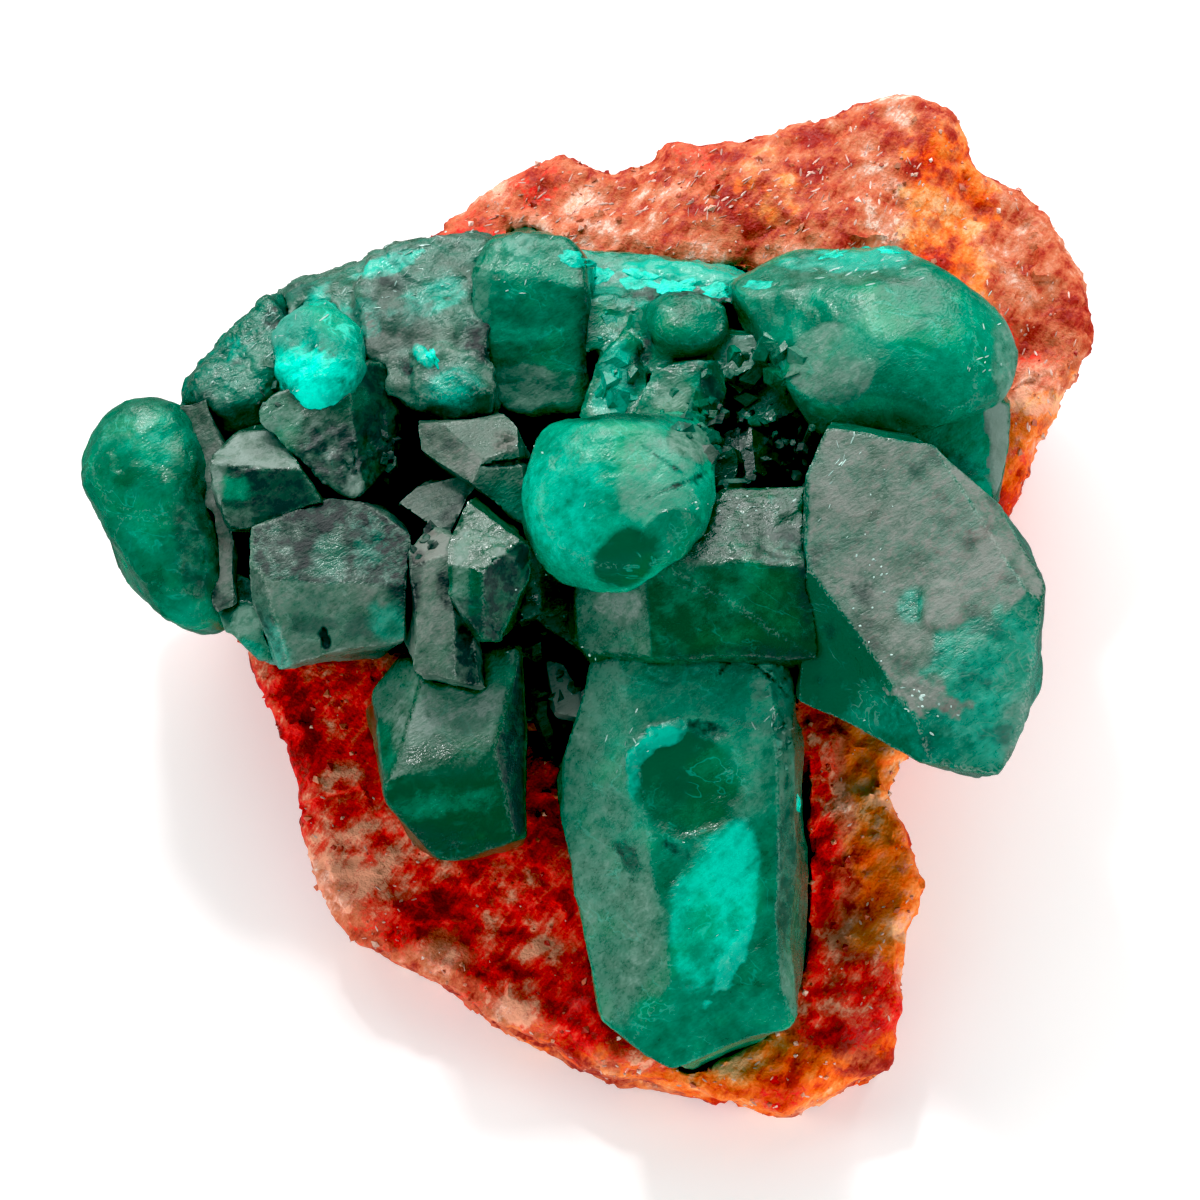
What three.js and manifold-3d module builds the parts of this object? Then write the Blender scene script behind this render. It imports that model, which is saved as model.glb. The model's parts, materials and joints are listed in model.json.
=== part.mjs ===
// Dioptase on matrix: emerald green crystals grown across a flat-bottomed piece of red, sandy rock.
// The specimen lies on its back. Millimetres, +Z up, origin under the middle of its box.
//
// The crystals are laid out on the showing face: x to the right, v up the face, d straight out of it.

import * as THREE from "three";
import { mergeVertices } from "three/addons/utils/BufferGeometryUtils.js";
import { ImprovedNoise } from "three/addons/math/ImprovedNoise.js";
import Module from "manifold-3d";

const wasm = await Module();
wasm.setup();

// ---- driving dimensions ----

const FACE_LEAN = 25; // degrees from level to the showing face
const CLEARANCE = 0.3; // left between one crystal and the next, and round each socket in the rock
const WALL_TILT = 5; // degrees that the side faces lean in and out by turns
const GIRDLE = 2; // how far behind the broad face a crystal is widest
const BACK_SPREAD = 1.25; // how much further out the hidden back faces stand than the front ones
const ROUNDING = 1.26; // size of a worn crystal's ellipsoid against its outline

const GREENS = {
  deep: { color: 0x0b5a3c, roughness: 0.25, metalness: 0 },
  teal: { color: 0x129473, roughness: 0.35, metalness: 0 },
  grey: { color: 0x58796b, roughness: 0.3, metalness: 0 },
  turquoise: { color: 0x1cc3a5, roughness: 0.4, metalness: 0 },
};
const ROCK = { color: 0xb8533a, roughness: 0.95, metalness: 0 };

// ---- crystals, front to back: each is cut away where one before it stands ----
//
// outline  corners of its silhouette, as [x, v]
// at       a point on its broad face, as [x, v, d]
// looks    where the broad face looks: degrees to the right and up from straight out
// back     how deep it goes behind the broad face
// folds    the faces that turn away from the broad one: edge from, edge to, degrees,
//          and the number of the face that it turns away from when that isn't the broad one, 0
// worn     true where growth or wear has rounded the whole crystal

const CRYSTALS = [
  {
    name: "centre_round_crystal",
    look: "teal",
    members: [
      {
        outline: [
          [-2.7, 4.1], [-2.2, 5.9], [-1.2, 6.6], [1, 7], [4.5, 6.9], [4.1, 3.2], [2.2, 0.8],
          [1, 0.5], [-1.2, 0.9], [-2.3, 2.1],
        ],
        at: [0.8, 3.9, 20], looks: [-6, 6], back: 10, worn: true,
        folds: [
          [[3.2, 6.9], [3.9, 3.2], 35], [[2.9, 3.6], [1.2, 1.4], 30], [[-1.2, 6.4], [4, 6.2], 30],
        ],
      },
    ],
  },
  {
    name: "right_large_crystal",
    look: "grey",
    members: [
      {
        outline: [
          [8, 4.2], [9, 6.6], [12.7, 6], [15.9, 3.1], [17.1, 0.9], [17.1, -0.8], [16.3, -4.6],
          [15, -6.7], [14.2, -6.6], [8.1, -4],
        ],
        at: [11.5, 1, 20], looks: [-4, 12], back: 11.5,
        folds: [
          [[8.3, 1.1], [12.4, -4.6], 48], [[13.6, 5], [16.6, 0.2], 38],
          [[12.4, -4.6], [16.8, 0.4], 22],
        ],
      },
    ],
  },
  {
    name: "centre_block_crystal",
    look: "deep",
    members: [
      {
        outline: [
          [-0.9, 0.8], [0.2, 1.4], [4.2, 4], [7.9, 4.2], [8.3, 3], [8.2, -2.4], [-0.2, -2.35],
          [-0.9, -1.4],
        ],
        at: [5.5, 2.6, 18.6], looks: [0, 40], back: 11,
        folds: [[[2.4, 1.25], [8.2, 1.35], 50], [[2, 0.7], [2.1, -2.3], 30, 1]],
      },
    ],
  },
  {
    name: "striped_top_crystal",
    look: "deep",
    members: [
      {
        outline: [
          [-5.6, 2], [-5, 3.5], [-3.3, 2.4], [-3, 0.5], [-3.7, -1.2], [-4.9, -1.2], [-5.5, -0.4],
        ],
        at: [-4.7, 2.2, 19], looks: [-8, 38], back: 10,
        folds: [[[-5.6, 1.2], [-4.4, 1], 50], [[-4.9, 0.8], [-3.3, 2.3], 62]],
      },
    ],
  },
  {
    name: "tall_thin_crystal",
    look: "grey",
    members: [
      {
        outline: [
          [-7.4, 1.6], [-6.7, 2.7], [-6, 2.4], [-5.4, 0.9], [-4.9, -1.5], [-4.75, -3.4], [-6.7, -3],
          [-7.4, -2],
        ],
        at: [-6.6, -0.5, 18.2], looks: [-18, 4], back: 9,
        folds: [[[-5.9, 1.6], [-5.6, -3], 48], [[-7.4, 1.2], [-5.9, 1.6], 45]],
      },
    ],
  },
  {
    name: "long_lower_crystal",
    look: "teal",
    members: [
      {
        outline: [
          [0.2, -1.8], [-1.4, -6.5], [-1.35, -8.5], [-0.4, -14], [0.3, -16.2], [3, -18.35],
          [6.9, -17], [7.5, -16], [7.5, -3.4], [7, -1.8],
        ],
        at: [3.6, -9, 17.6], looks: [4, 2], back: 7.5,
        folds: [
          [[0.9, -3], [2.7, -15], 38], [[-0.2, -15], [7, -15.2], 28], [[6.7, -3], [6.9, -16], 60],
        ],
      },
    ],
  },
  {
    name: "lower_left_crystal",
    look: "deep",
    members: [
      {
        outline: [
          [-8.9, -3.6], [-7.9, -2.4], [-3.2, -1.8], [-3, -9.4], [-5, -10.2], [-6.5, -10.1],
          [-7.7, -8.8], [-8.6, -6.8],
        ],
        at: [-6, -5, 17.2], looks: [-6, 16], back: 7.5,
        folds: [
          [[-6.8, -2.6], [-8.2, -7], 42], [[-8.2, -7], [-4.2, -5.8], 34],
          [[-3.3, -2.6], [-4.3, -6], 55], [[-3.9, -5.8], [-3.3, -9.6], 40, 2],
        ],
      },
    ],
  },
  {
    name: "left_block_crystal",
    look: "grey",
    members: [
      {
        outline: [
          [-13.4, 2.6], [-12.6, 3.2], [-11, 3.85], [-9, 3.6], [-7.9, 2.8], [-7.55, 0], [-7.7, -1.2],
          [-8.2, -1.7], [-11.5, -2.55], [-12.8, -2.7], [-13.3, -1.2],
        ],
        at: [-10.5, 2, 16.8], looks: [-4, 22], back: 11,
        folds: [[[-13.5, 0.6], [-7.7, 0.5], 30], [[-13, 0.6], [-12.3, -2.6], 35, 1]],
      },
    ],
  },
  {
    name: "left_foot_crystals",
    look: "teal",
    members: [
      {
        outline: [[-14.3, -1.2], [-14, -0.1], [-13, -0.2], [-12.4, -2.7], [-13.2, -2.6]],
        at: [-13.4, -1.2, 14.6], looks: [-16, -10], back: 7, folds: [],
      },
      {
        outline: [[-15.3, 0.7], [-14.4, 1.1], [-13.4, 0.6], [-13.6, -1], [-14.4, -1.2], [-15, -0.5]],
        at: [-14.4, 0, 14], looks: [-10, 12], back: 7, folds: [],
      },
    ],
  },
  {
    name: "small_shelf_crystal",
    look: "deep",
    members: [
      {
        outline: [
          [-15, 5.4], [-13.9, 6.5], [-13.1, 6.6], [-11.6, 5], [-11.2, 4.4], [-11.3, 3], [-13, 2.8],
          [-14.6, 2.9], [-15, 3.8],
        ],
        at: [-13.4, 5.7, 15.8], looks: [-4, 42], back: 9,
        folds: [[[-15, 5.2], [-11.6, 5.1], 52]],
      },
    ],
  },
  {
    name: "left_end_crystal",
    look: "teal",
    members: [
      {
        outline: [
          [-20, 5.6], [-19.3, 7], [-18.4, 7.5], [-16.8, 7.35], [-15.9, 6], [-15.5, 3.5],
          [-16.2, 2.5], [-19, 2.6], [-19.9, 4.2],
        ],
        at: [-17.6, 5.2, 14.6], looks: [-12, 14], back: 9, worn: true, folds: [],
      },
      {
        outline: [
          [-19.6, 3.2], [-19.2, 2], [-17.8, 0], [-17, -0.8], [-15.2, -1.3], [-14.6, -0.8],
          [-14.9, 0.8], [-15.5, 3.5], [-17.5, 4.6], [-19.3, 4.2],
        ],
        at: [-17, 1.6, 14.8], looks: [-14, -6], back: 9, worn: true,
        folds: [[[-18.2, 0.6], [-15, 0.3], 35]],
      },
    ],
  },
  {
    name: "left_rib_crystal",
    look: "grey",
    members: [
      {
        outline: [
          [-16.7, 7.2], [-15.6, 7.6], [-14.9, 6], [-14.5, 3], [-14.4, 0.4], [-15.2, 0], [-15.8, 3],
        ],
        at: [-15.3, 4, 14.2], looks: [-20, 5], back: 8, folds: [],
      },
    ],
  },
  {
    name: "turquoise_drop_crystal",
    look: "turquoise",
    members: [
      {
        outline: [
          [-12.8, 10.2], [-12.2, 11.3], [-10.6, 11.4], [-9.5, 10.2], [-9.4, 9.2], [-10.2, 8],
          [-10.8, 7.1], [-11.6, 7.1], [-12.3, 8.2],
        ],
        at: [-11.2, 9.2, 15.4], looks: [0, 22], back: 7, worn: true, folds: [],
      },
    ],
  },
  {
    name: "dark_wedge_crystal",
    look: "deep",
    members: [
      {
        outline: [
          [-13.1, 7.4], [-12.4, 8.4], [-9.4, 9.3], [-8.5, 9.1], [-8, 7], [-8.9, 4.7], [-9.4, 4.1],
          [-12.2, 5.8], [-13, 6.6],
        ],
        at: [-10.6, 6.8, 15.8], looks: [6, 10], back: 8,
        folds: [[[-10, 9], [-9.6, 4.2], 35]],
      },
    ],
  },
  {
    name: "upper_left_crystal",
    look: "grey",
    members: [
      {
        outline: [
          [-16.6, 7.4], [-15.9, 9.2], [-14.3, 11.1], [-13.2, 12.1], [-12.3, 11.5], [-12.6, 9],
          [-12.9, 7], [-14.8, 6.1], [-16, 6.6],
        ],
        at: [-14.4, 9, 13.2], looks: [-14, 30], back: 9, worn: true,
        folds: [[[-15.6, 7.8], [-12.8, 7.8], 35]],
      },
    ],
  },
  {
    name: "mirror_face_crystal",
    look: "grey",
    members: [
      {
        outline: [
          [-6.9, 6.8], [-5, 7.1], [-4.1, 7.2], [-3.2, 6], [-3, 4], [-3.2, 3.1], [-3.8, 3.3],
          [-6, 5], [-6.8, 5.6],
        ],
        at: [-4.8, 6.4, 15.8], looks: [4, 34], back: 9,
        folds: [[[-6.3, 6.9], [-4.6, 5.4], 30], [[-4.6, 5.4], [-3.2, 5.9], 40]],
      },
    ],
  },
  {
    name: "dark_facet_crystal",
    look: "grey",
    members: [
      {
        outline: [[-7.8, 3.6], [-6.8, 4.5], [-5.4, 4.8], [-5, 4.2], [-5.8, 2.5], [-6.3, 2.4]],
        at: [-6.3, 3.7, 15.6], looks: [-6, 26], back: 9, folds: [],
      },
    ],
  },
  {
    name: "ridge_middle_crystal",
    look: "teal",
    members: [
      {
        outline: [
          [-4.9, 13], [-4.4, 14.1], [-1.5, 14.2], [-0.6, 13.2], [-0.7, 9.4], [-0.9, 7.6],
          [-2.5, 7.4], [-4, 7.7], [-4.8, 11],
        ],
        at: [-2.6, 11.6, 14], looks: [2, 22], back: 9,
        folds: [[[-4.8, 12.7], [-0.7, 12.4], 32], [[-4.1, 10], [-0.8, 10.1], 20]],
      },
    ],
  },
  {
    name: "upper_right_crystal",
    look: "teal",
    members: [
      {
        outline: [
          [5, 12.3], [6.6, 13.2], [8, 13.7], [12.2, 13.9], [14.2, 12], [15.6, 11], [16.1, 9.4],
          [15.6, 8.2], [11.3, 6.2], [8.4, 6.8], [7.2, 9],
        ],
        at: [9, 9.8, 15.4], looks: [-14, 14], back: 9,
        folds: [
          [[5.5, 11.9], [14, 12], 42], [[10.4, 11.9], [11.3, 8.3], 22],
          [[14.3, 11], [14.6, 8], 35, 2], [[8.2, 8], [11.3, 8.3], 45],
        ],
      },
    ],
  },
  {
    name: "right_edge_crystal",
    look: "deep",
    members: [
      {
        outline: [
          [12.2, 7.2], [15.3, 8.6], [16.1, 7.8], [15.9, 5], [15.6, 3.9], [15, 3.55], [13.9, 4],
          [12.6, 6],
        ],
        at: [14.2, 6.2, 13.6], looks: [-4, 2], back: 8,
        folds: [[[15.2, 8], [15.45, 4], 50]],
      },
    ],
  },
  {
    name: "middle_small_crystals",
    look: "teal",
    members: [
      {
        outline: [
          [2, 11.3], [2.6, 11.9], [3.4, 12], [4.9, 11.3], [5.1, 10.4], [4.6, 9.8], [3, 9.6],
          [2.2, 10.4],
        ],
        at: [3.6, 10.9, 14.2], looks: [0, 24], back: 7, worn: true, folds: [],
      },
      {
        outline: [
          [-0.5, 7.3], [0.1, 9.6], [0.9, 10.3], [1.5, 9.7], [1.8, 8.2], [1.5, 6.9], [-0.2, 6.9],
        ],
        at: [0.8, 8.6, 14.4], looks: [-12, 14], back: 7,
        folds: [[[0.2, 9.4], [0.3, 7], 30]],
      },
      {
        outline: [[1.5, 6.9], [2.6, 9.1], [4.3, 9.4], [4.9, 8], [4.6, 7], [3.2, 6.7]],
        at: [3, 8.1, 14.8], looks: [-8, 20], back: 7,
        folds: [[[4.2, 9.3], [3.2, 6.8], 40]],
      },
      {
        outline: [[1.2, 10.8], [2, 11.3], [2.6, 9.9], [2.2, 8.8], [1.5, 8.8], [1, 10]],
        at: [1.8, 10, 13.2], looks: [-4, 16], back: 6, folds: [],
      },
      {
        outline: [[4.7, 10], [5.3, 10.5], [6.9, 10.4], [7.2, 9.7], [5.9, 9.1], [4.7, 9.1]],
        at: [6, 9.8, 13.6], looks: [0, 20], back: 6, folds: [],
      },
      {
        outline: [[5.2, 9], [6.6, 9.4], [7.9, 8.4], [7.9, 7.4], [7, 7], [5.4, 7.4]],
        at: [6.6, 8.2, 12.8], looks: [0, 14], back: 6, folds: [],
      },
      {
        outline: [
          [-0.9, 13.9], [1, 14], [3, 13.4], [6.6, 13.1], [6.4, 12.1], [3, 11.4], [0.4, 11.2],
          [-0.7, 12],
        ],
        at: [3, 12.7, 11.2], looks: [0, 42], back: 5, folds: [],
      },
      {
        outline: [[-0.5, 11.5], [0.8, 11.8], [1.5, 11.2], [0.9, 9.9], [-0.4, 9.6]],
        at: [0.3, 10.8, 12.6], looks: [8, 24], back: 5, folds: [],
      },
    ],
  },
  {
    name: "upper_ridge_crystals",
    look: "grey",
    members: [
      {
        outline: [
          [-13.2, 12.1], [-12.2, 12.4], [-10.5, 13], [-8.2, 13.9], [-6.5, 13.2], [-8.2, 11.2],
          [-9.4, 10.4], [-12.6, 11],
        ],
        at: [-10.5, 12.2, 10.6], looks: [-8, 48], back: 6, folds: [],
      },
      {
        outline: [
          [-8.9, 13.6], [-6.5, 14.2], [-4.3, 14.1], [-4, 12], [-4.4, 9.8], [-6, 9.4], [-8, 9.2],
          [-9.4, 9.8], [-9.6, 11.5],
        ],
        at: [-6.8, 11.6, 13], looks: [-2, 34], back: 8,
        folds: [[[-9.5, 10.6], [-4.2, 10.4], 26]],
      },
      {
        outline: [
          [-6.9, 9], [-6.2, 9.9], [-4.6, 9.4], [-4.1, 8.6], [-4.2, 7.3], [-5.5, 7.1], [-6.8, 7.4],
        ],
        at: [-5.4, 8.5, 14.8], looks: [4, 18], back: 7,
        folds: [[[-6.8, 8], [-4.1, 8.2], 35]],
      },
      {
        outline: [[-8.5, 9.4], [-7, 9.7], [-6.5, 8.2], [-7, 7.4], [-8, 7.8]],
        at: [-7.5, 8.6, 14.4], looks: [-8, 16], back: 7, folds: [],
      },
    ],
  },
  {
    name: "gap_crystals",
    look: "deep",
    members: [
      {
        outline: [[-3.3, 1.9], [-2.2, 2.4], [-1.6, 1.2], [-1.6, -0.4], [-2.8, -0.9], [-3.2, 0]],
        at: [-2.4, 0.8, 15.4], looks: [-4, 14], back: 8,
        folds: [[[-2.4, 2.4], [-2.3, -0.8], 35]],
      },
      {
        outline: [[-2, 0.8], [-0.8, 1], [-0.6, -1], [-1, -1.9], [-2, -1.2]],
        at: [-1.4, -0.4, 14.6], looks: [4, 8], back: 7, folds: [],
      },
    ],
  },
  {
    name: "cavity_crystals",
    look: "deep",
    members: [
      {
        outline: [[3.3, 5.5], [4.1, 6.2], [5.4, 5.7], [5.6, 4.8], [4.7, 3.9], [3.6, 4.2]],
        at: [4.5, 5, 14.6], looks: [10, 12], back: 7, worn: true, folds: [],
      },
      {
        outline: [[5, 6.2], [6.2, 7], [7.4, 6.4], [7.5, 5.2], [6.2, 4.6], [5, 5.2]],
        at: [6.2, 5.8, 13.4], looks: [-6, 22], back: 7,
        folds: [[[6, 6.9], [6.2, 4.7], 30]],
      },
    ],
  },
  {
    name: "splinter_crystal",
    look: "grey",
    members: [
      {
        outline: [
          [-1.95, -2.8], [-1.2, -2.9], [-0.1, -4.4], [-0.4, -4.85], [-1.3, -4.6], [-1.85, -3.8],
        ],
        at: [-1, -3.8, 15], looks: [-14, 24], back: 7, folds: [],
      },
    ],
  },
];

// ---- the rock ----

// Its rim as [x, v, height at which the rock is widest there], anticlockwise from the right.
const RIM = [
  [20, 10.4, 9.5], [19.3, 13, 9.5], [18.3, 15.5, 10], [16.3, 16.9, 10.5], [15.5, 17.3, 11],
  [14.9, 18.4, 11.5], [14.2, 19.6, 12], [12.8, 20.4, 12], [10.4, 20.2, 12], [8.8, 19.4, 12],
  [6.3, 18.8, 12], [2.8, 18.3, 11.5], [1.5, 17.2, 11], [0.4, 17.1, 11], [-1.6, 17.9, 11],
  [-3.2, 17.1, 10.5], [-6.3, 15, 10], [-8, 14, 9], [-10.8, 13, 8.5], [-13.6, 10.4, 8],
  [-15.7, 8, 8], [-17.2, 5.6, 7.5], [-17.6, 3, 7], [-16.4, 0.6, 6.5], [-14.6, -1.2, 6],
  [-13.5, -3.5, 5.4], [-12.4, -6, 5], [-12, -8, 4.6], [-11.6, -10.4, 4.2], [-11.1, -12.3, 4],
  [-10, -13.5, 3.8], [-8, -14.6, 3.6], [-5.7, -15.8, 3.4], [-4.2, -16.8, 3.4], [-1.7, -18, 3.2],
  [0, -19, 3], [1.8, -19.2, 3], [5.2, -19.8, 3], [7.4, -20.3, 3], [8.9, -19.7, 3], [9.8, -18.9, 3],
  [11.6, -18.4, 3.2], [12.2, -16.2, 3.6], [12.1, -14.2, 4], [12.8, -11.4, 4.6], [12, -9.2, 5],
  [11.4, -7.8, 5.4], [13.4, -4.8, 6], [15.3, -1.8, 6.6], [16.2, 1.2, 7.2], [16.4, 3.2, 7.8],
  [17, 4.6, 8.2], [18.1, 7, 8.8], [18.8, 8.4, 9.2],
];
const ROCK_CENTRE = [1.5, -3]; // the middle that the rim is swept round
const TOP_RINGS = 11; // rings of points between the middle and the rim, on top
const WALL_LEVELS = 4; // rings of points down the side
const SHOULDER = 0.7; // height of the shoulder above the widest line, and how far in it stands
const SHOULDER_START = 0.55; // share of the way to the rim where the top begins to fall to the shoulder
const UNDERCUT = 0.38; // how far the side falls back for each millimetre below the widest line
const DEEPEST_UNDERCUT = 3;
const WALL_ROUGHNESS = 0.45;

const smooth = THREE.MathUtils.smoothstep;
const noise = new ImprovedNoise();

// Height of the rock's upper surface: a low front, a shelf that carries the crystals and a high back.
function rockHeight(x, y) {
  const front = 5.2 + 2.2 * smooth(y, -20, -7);
  const shelf = 2.2 * smooth(y, -7, -1);
  const back = 3 * smooth(y, 4.5, 9.5) * (1 - 0.3 * smooth(-x, 4, 12));
  const rightStep = -1.6 * smooth(x, 15.4, 16.4) * smooth(y, 0, 4);
  const hollow = -1.6 * Math.exp(-((x - 9.4) ** 2 + (y + 16) ** 2) / 3);
  const lumps = 0.8 * noise.noise(x / 3.4, y / 3.4, 1.7) + 0.3 * noise.noise(x / 1.9, y / 1.9, 4.2);
  return front + shelf + back + rightStep + hollow + lumps;
}

// ---- geometry helpers ----

const degrees = THREE.MathUtils.degToRad;
const faceToPart = new THREE.Matrix4().makeRotationX(degrees(FACE_LEAN));

function solidFrom(geometry) {
  const bare = geometry.clone();
  bare.deleteAttribute("normal");
  bare.deleteAttribute("uv");
  const merged = mergeVertices(bare, 1e-4);
  return new wasm.Manifold(
    new wasm.Mesh({
      numProp: 3,
      vertProperties: new Float32Array(merged.attributes.position.array),
      triVerts: new Uint32Array(merged.index.array),
    }),
  );
}

function geometryFrom(solid) {
  const { vertProperties, triVerts } = solid.getMesh();
  const geometry = new THREE.BufferGeometry();
  geometry.setAttribute("position", new THREE.BufferAttribute(new Float32Array(vertProperties), 3));
  geometry.setIndex(new THREE.BufferAttribute(new Uint32Array(triVerts), 1));
  const flat = geometry.toNonIndexed();
  flat.computeVertexNormals();
  return flat;
}

function largestBody(solid) {
  return solid.decompose().reduce((best, body) => (body.volume() > best.volume() ? body : best));
}

// ---- crystals ----

// Every face of a crystal as a plane: the solid is where normal . point <= reach.
function facesOf({ outline, at, looks, back, folds }) {
  const [right, up] = looks.map(degrees);
  const broad = new THREE.Vector3(Math.sin(right), Math.tan(up), Math.cos(right)).normalize();
  const onBroad = new THREE.Vector3(...at);
  const middle = onBroad.clone().setZ(at[2] - back / 2);
  const faces = [{ normal: broad, reach: broad.dot(onBroad) }];

  for (const [from, to, turn, parent = 0] of folds) {
    const { normal, reach } = faces[parent];
    const lift = ([x, v]) => new THREE.Vector3(x, v, (reach - normal.x * x - normal.y * v) / normal.z);
    const start = lift(from);
    const along = lift(to).sub(start).normalize();
    const outward = along.cross(normal);
    if (outward.dot(middle.clone().sub(start)) > 0) outward.negate();
    const turned = normal.clone().multiplyScalar(Math.cos(degrees(turn)));
    turned.addScaledVector(outward, Math.sin(degrees(turn))).normalize();
    faces.push({ normal: turned, reach: turned.dot(start) });
  }

  // A face at the back for each one in front, parallel to it.
  const behind = faces.map(({ normal, reach }, i) => {
    const away = normal.clone().negate();
    const distance = reach - normal.dot(middle);
    return { normal: away, reach: away.dot(middle) + distance * (i ? BACK_SPREAD : 1) };
  });

  const walls = outline.map((corner, i) => {
    const next = outline[(i + 1) % outline.length];
    const across = new THREE.Vector3(next[1] - corner[1], corner[0] - next[0], 0).normalize();
    const onWall = new THREE.Vector3(...corner, at[2] - GIRDLE);
    if (across.dot(onWall.clone().sub(middle)) < 0) across.negate();
    const tilt = degrees(i % 2 ? WALL_TILT : -WALL_TILT);
    const normal = across.multiplyScalar(Math.cos(tilt)).setZ(Math.sin(tilt));
    return { normal, reach: normal.dot(onWall) };
  });

  return [...faces, ...behind, ...walls];
}

// The block that a crystal is cut from: a plain one, or an ellipsoid for a worn crystal.
function blockFor({ outline, at, back, worn }, grow) {
  const box = new THREE.Box2().setFromPoints(outline.map(([x, v]) => new THREE.Vector2(x, v)));
  const centre = box.getCenter(new THREE.Vector2());
  const size = box.getSize(new THREE.Vector2()).multiplyScalar(worn ? ROUNDING : 2);
  const depth = worn ? ROUNDING * back : 4 * back;
  const unit = worn ? new THREE.IcosahedronGeometry(0.5, 3) : new THREE.BoxGeometry(1, 1, 1);
  unit.scale(size.x + 2 * grow, size.y + 2 * grow, depth + 2 * grow);
  return unit.translate(centre.x, centre.y, at[2] - back / 2);
}

// One crystal in part coordinates, every face moved out by grow.
function crystalSolid(shape, grow = 0) {
  let solid = solidFrom(blockFor(shape, grow));
  for (const { normal, reach } of facesOf(shape)) {
    solid = solid.trimByPlane(normal.clone().negate().toArray(), -(reach + grow));
  }
  return solid.transform(faceToPart.elements);
}

function joined(solids) {
  return solids.reduce((whole, solid) => whole.add(solid));
}

// ---- rock ----

function rockSolid() {
  const lean = degrees(FACE_LEAN);
  const rim = RIM.flatMap(([x, v, widest], i) => {
    const [nextX, nextV, nextWidest] = RIM[(i + 1) % RIM.length];
    return [[x, v, widest], [(x + nextX) / 2, (v + nextV) / 2, (widest + nextWidest) / 2]];
  });
  const [cx, cy] = ROCK_CENTRE;
  const columns = rim.map(([x, v, widest]) => {
    const y = (v - widest * Math.sin(lean)) / Math.cos(lean);
    return { x: x - cx, y: y - cy, widest, radius: Math.hypot(x - cx, y - cy) };
  });

  const points = [];
  const rings = [];
  const ring = (pointOn) => {
    rings.push(points.length / 3);
    for (const column of columns) points.push(...pointOn(column));
  };

  for (let k = 1; k <= TOP_RINGS; k++) {
    const way = k / TOP_RINGS;
    ring((column) => {
      const share = way * (1 - SHOULDER / column.radius);
      const [x, y] = [cx + column.x * share, cy + column.y * share];
      const fall = smooth(way, SHOULDER_START, 1);
      return [x, y, THREE.MathUtils.lerp(rockHeight(x, y), column.widest + SHOULDER, fall)];
    });
  }
  for (let k = 0; k <= WALL_LEVELS; k++) {
    const down = k / WALL_LEVELS;
    ring((column) => {
      const z = column.widest * (1 - down);
      const rough = WALL_ROUGHNESS * noise.noise(column.x / 1.7, column.y / 1.7, z / 1.9);
      const undercut = Math.min(UNDERCUT * (column.widest - z), DEEPEST_UNDERCUT);
      const inset = undercut + (k ? rough : 0);
      const share = 1 - inset / column.radius;
      return [cx + column.x * share, cy + column.y * share, z];
    });
  }

  const topMiddle = points.length / 3;
  points.push(cx, cy, rockHeight(cx, cy));
  const baseMiddle = topMiddle + 1;
  points.push(cx, cy, 0);

  const faces = [];
  const count = columns.length;
  for (let i = 0; i < count; i++) {
    const j = (i + 1) % count;
    faces.push(topMiddle, rings[0] + i, rings[0] + j);
    for (let r = 0; r + 1 < rings.length; r++) {
      const [a, b, c, d] = [rings[r] + i, rings[r + 1] + i, rings[r + 1] + j, rings[r] + j];
      faces.push(a, b, c, a, c, d);
    }
    faces.push(baseMiddle, rings.at(-1) + j, rings.at(-1) + i);
  }
  const geometry = new THREE.BufferGeometry();
  geometry.setAttribute("position", new THREE.Float32BufferAttribute(points, 3));
  geometry.setIndex(faces);
  return solidFrom(geometry);
}

// ---- the specimen ----

const specimen = new THREE.Group();

function addPiece(name, solid, look) {
  const mesh = new THREE.Mesh(geometryFrom(solid), new THREE.MeshStandardMaterial(look));
  mesh.name = name;
  specimen.add(mesh);
}

const sockets = [];
for (const { name, look, members } of CRYSTALS) {
  let solid = joined(members.map((member) => crystalSolid(member)));
  for (const socket of sockets) solid = solid.subtract(socket);
  addPiece(name, largestBody(solid), GREENS[look]);
  sockets.push(joined(members.map((member) => crystalSolid(member, CLEARANCE))));
}
addPiece("matrix", largestBody(rockSolid().subtract(joined(sockets))), ROCK);

// Stand the origin under the middle of the box.
const box = new THREE.Box3().setFromObject(specimen);
const middle = box.getCenter(new THREE.Vector3());
specimen.position.set(-middle.x, -middle.y, -box.min.z);

export default specimen;
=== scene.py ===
import json
import math

import bmesh
import bpy
import numpy as np
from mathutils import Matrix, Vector
from mathutils.bvhtree import BVHTree
from mathutils.kdtree import KDTree


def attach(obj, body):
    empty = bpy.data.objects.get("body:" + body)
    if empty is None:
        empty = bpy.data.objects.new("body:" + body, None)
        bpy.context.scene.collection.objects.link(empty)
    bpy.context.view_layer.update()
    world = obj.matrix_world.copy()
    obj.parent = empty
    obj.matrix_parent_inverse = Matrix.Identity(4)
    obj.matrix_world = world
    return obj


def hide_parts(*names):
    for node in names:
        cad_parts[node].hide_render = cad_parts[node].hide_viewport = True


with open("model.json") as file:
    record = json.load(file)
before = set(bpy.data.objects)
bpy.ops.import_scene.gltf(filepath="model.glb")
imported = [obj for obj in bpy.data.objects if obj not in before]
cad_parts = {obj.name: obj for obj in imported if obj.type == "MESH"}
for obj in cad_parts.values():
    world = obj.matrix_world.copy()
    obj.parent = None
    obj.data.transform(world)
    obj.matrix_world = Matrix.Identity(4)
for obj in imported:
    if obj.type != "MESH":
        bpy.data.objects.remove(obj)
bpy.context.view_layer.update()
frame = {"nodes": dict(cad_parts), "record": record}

nodes = frame["nodes"]
slotOf = {part["node"]: part["material_slot"] for part in frame["record"]["subparts"]}
rockNode = "matrix"
mm = 0.001
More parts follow.
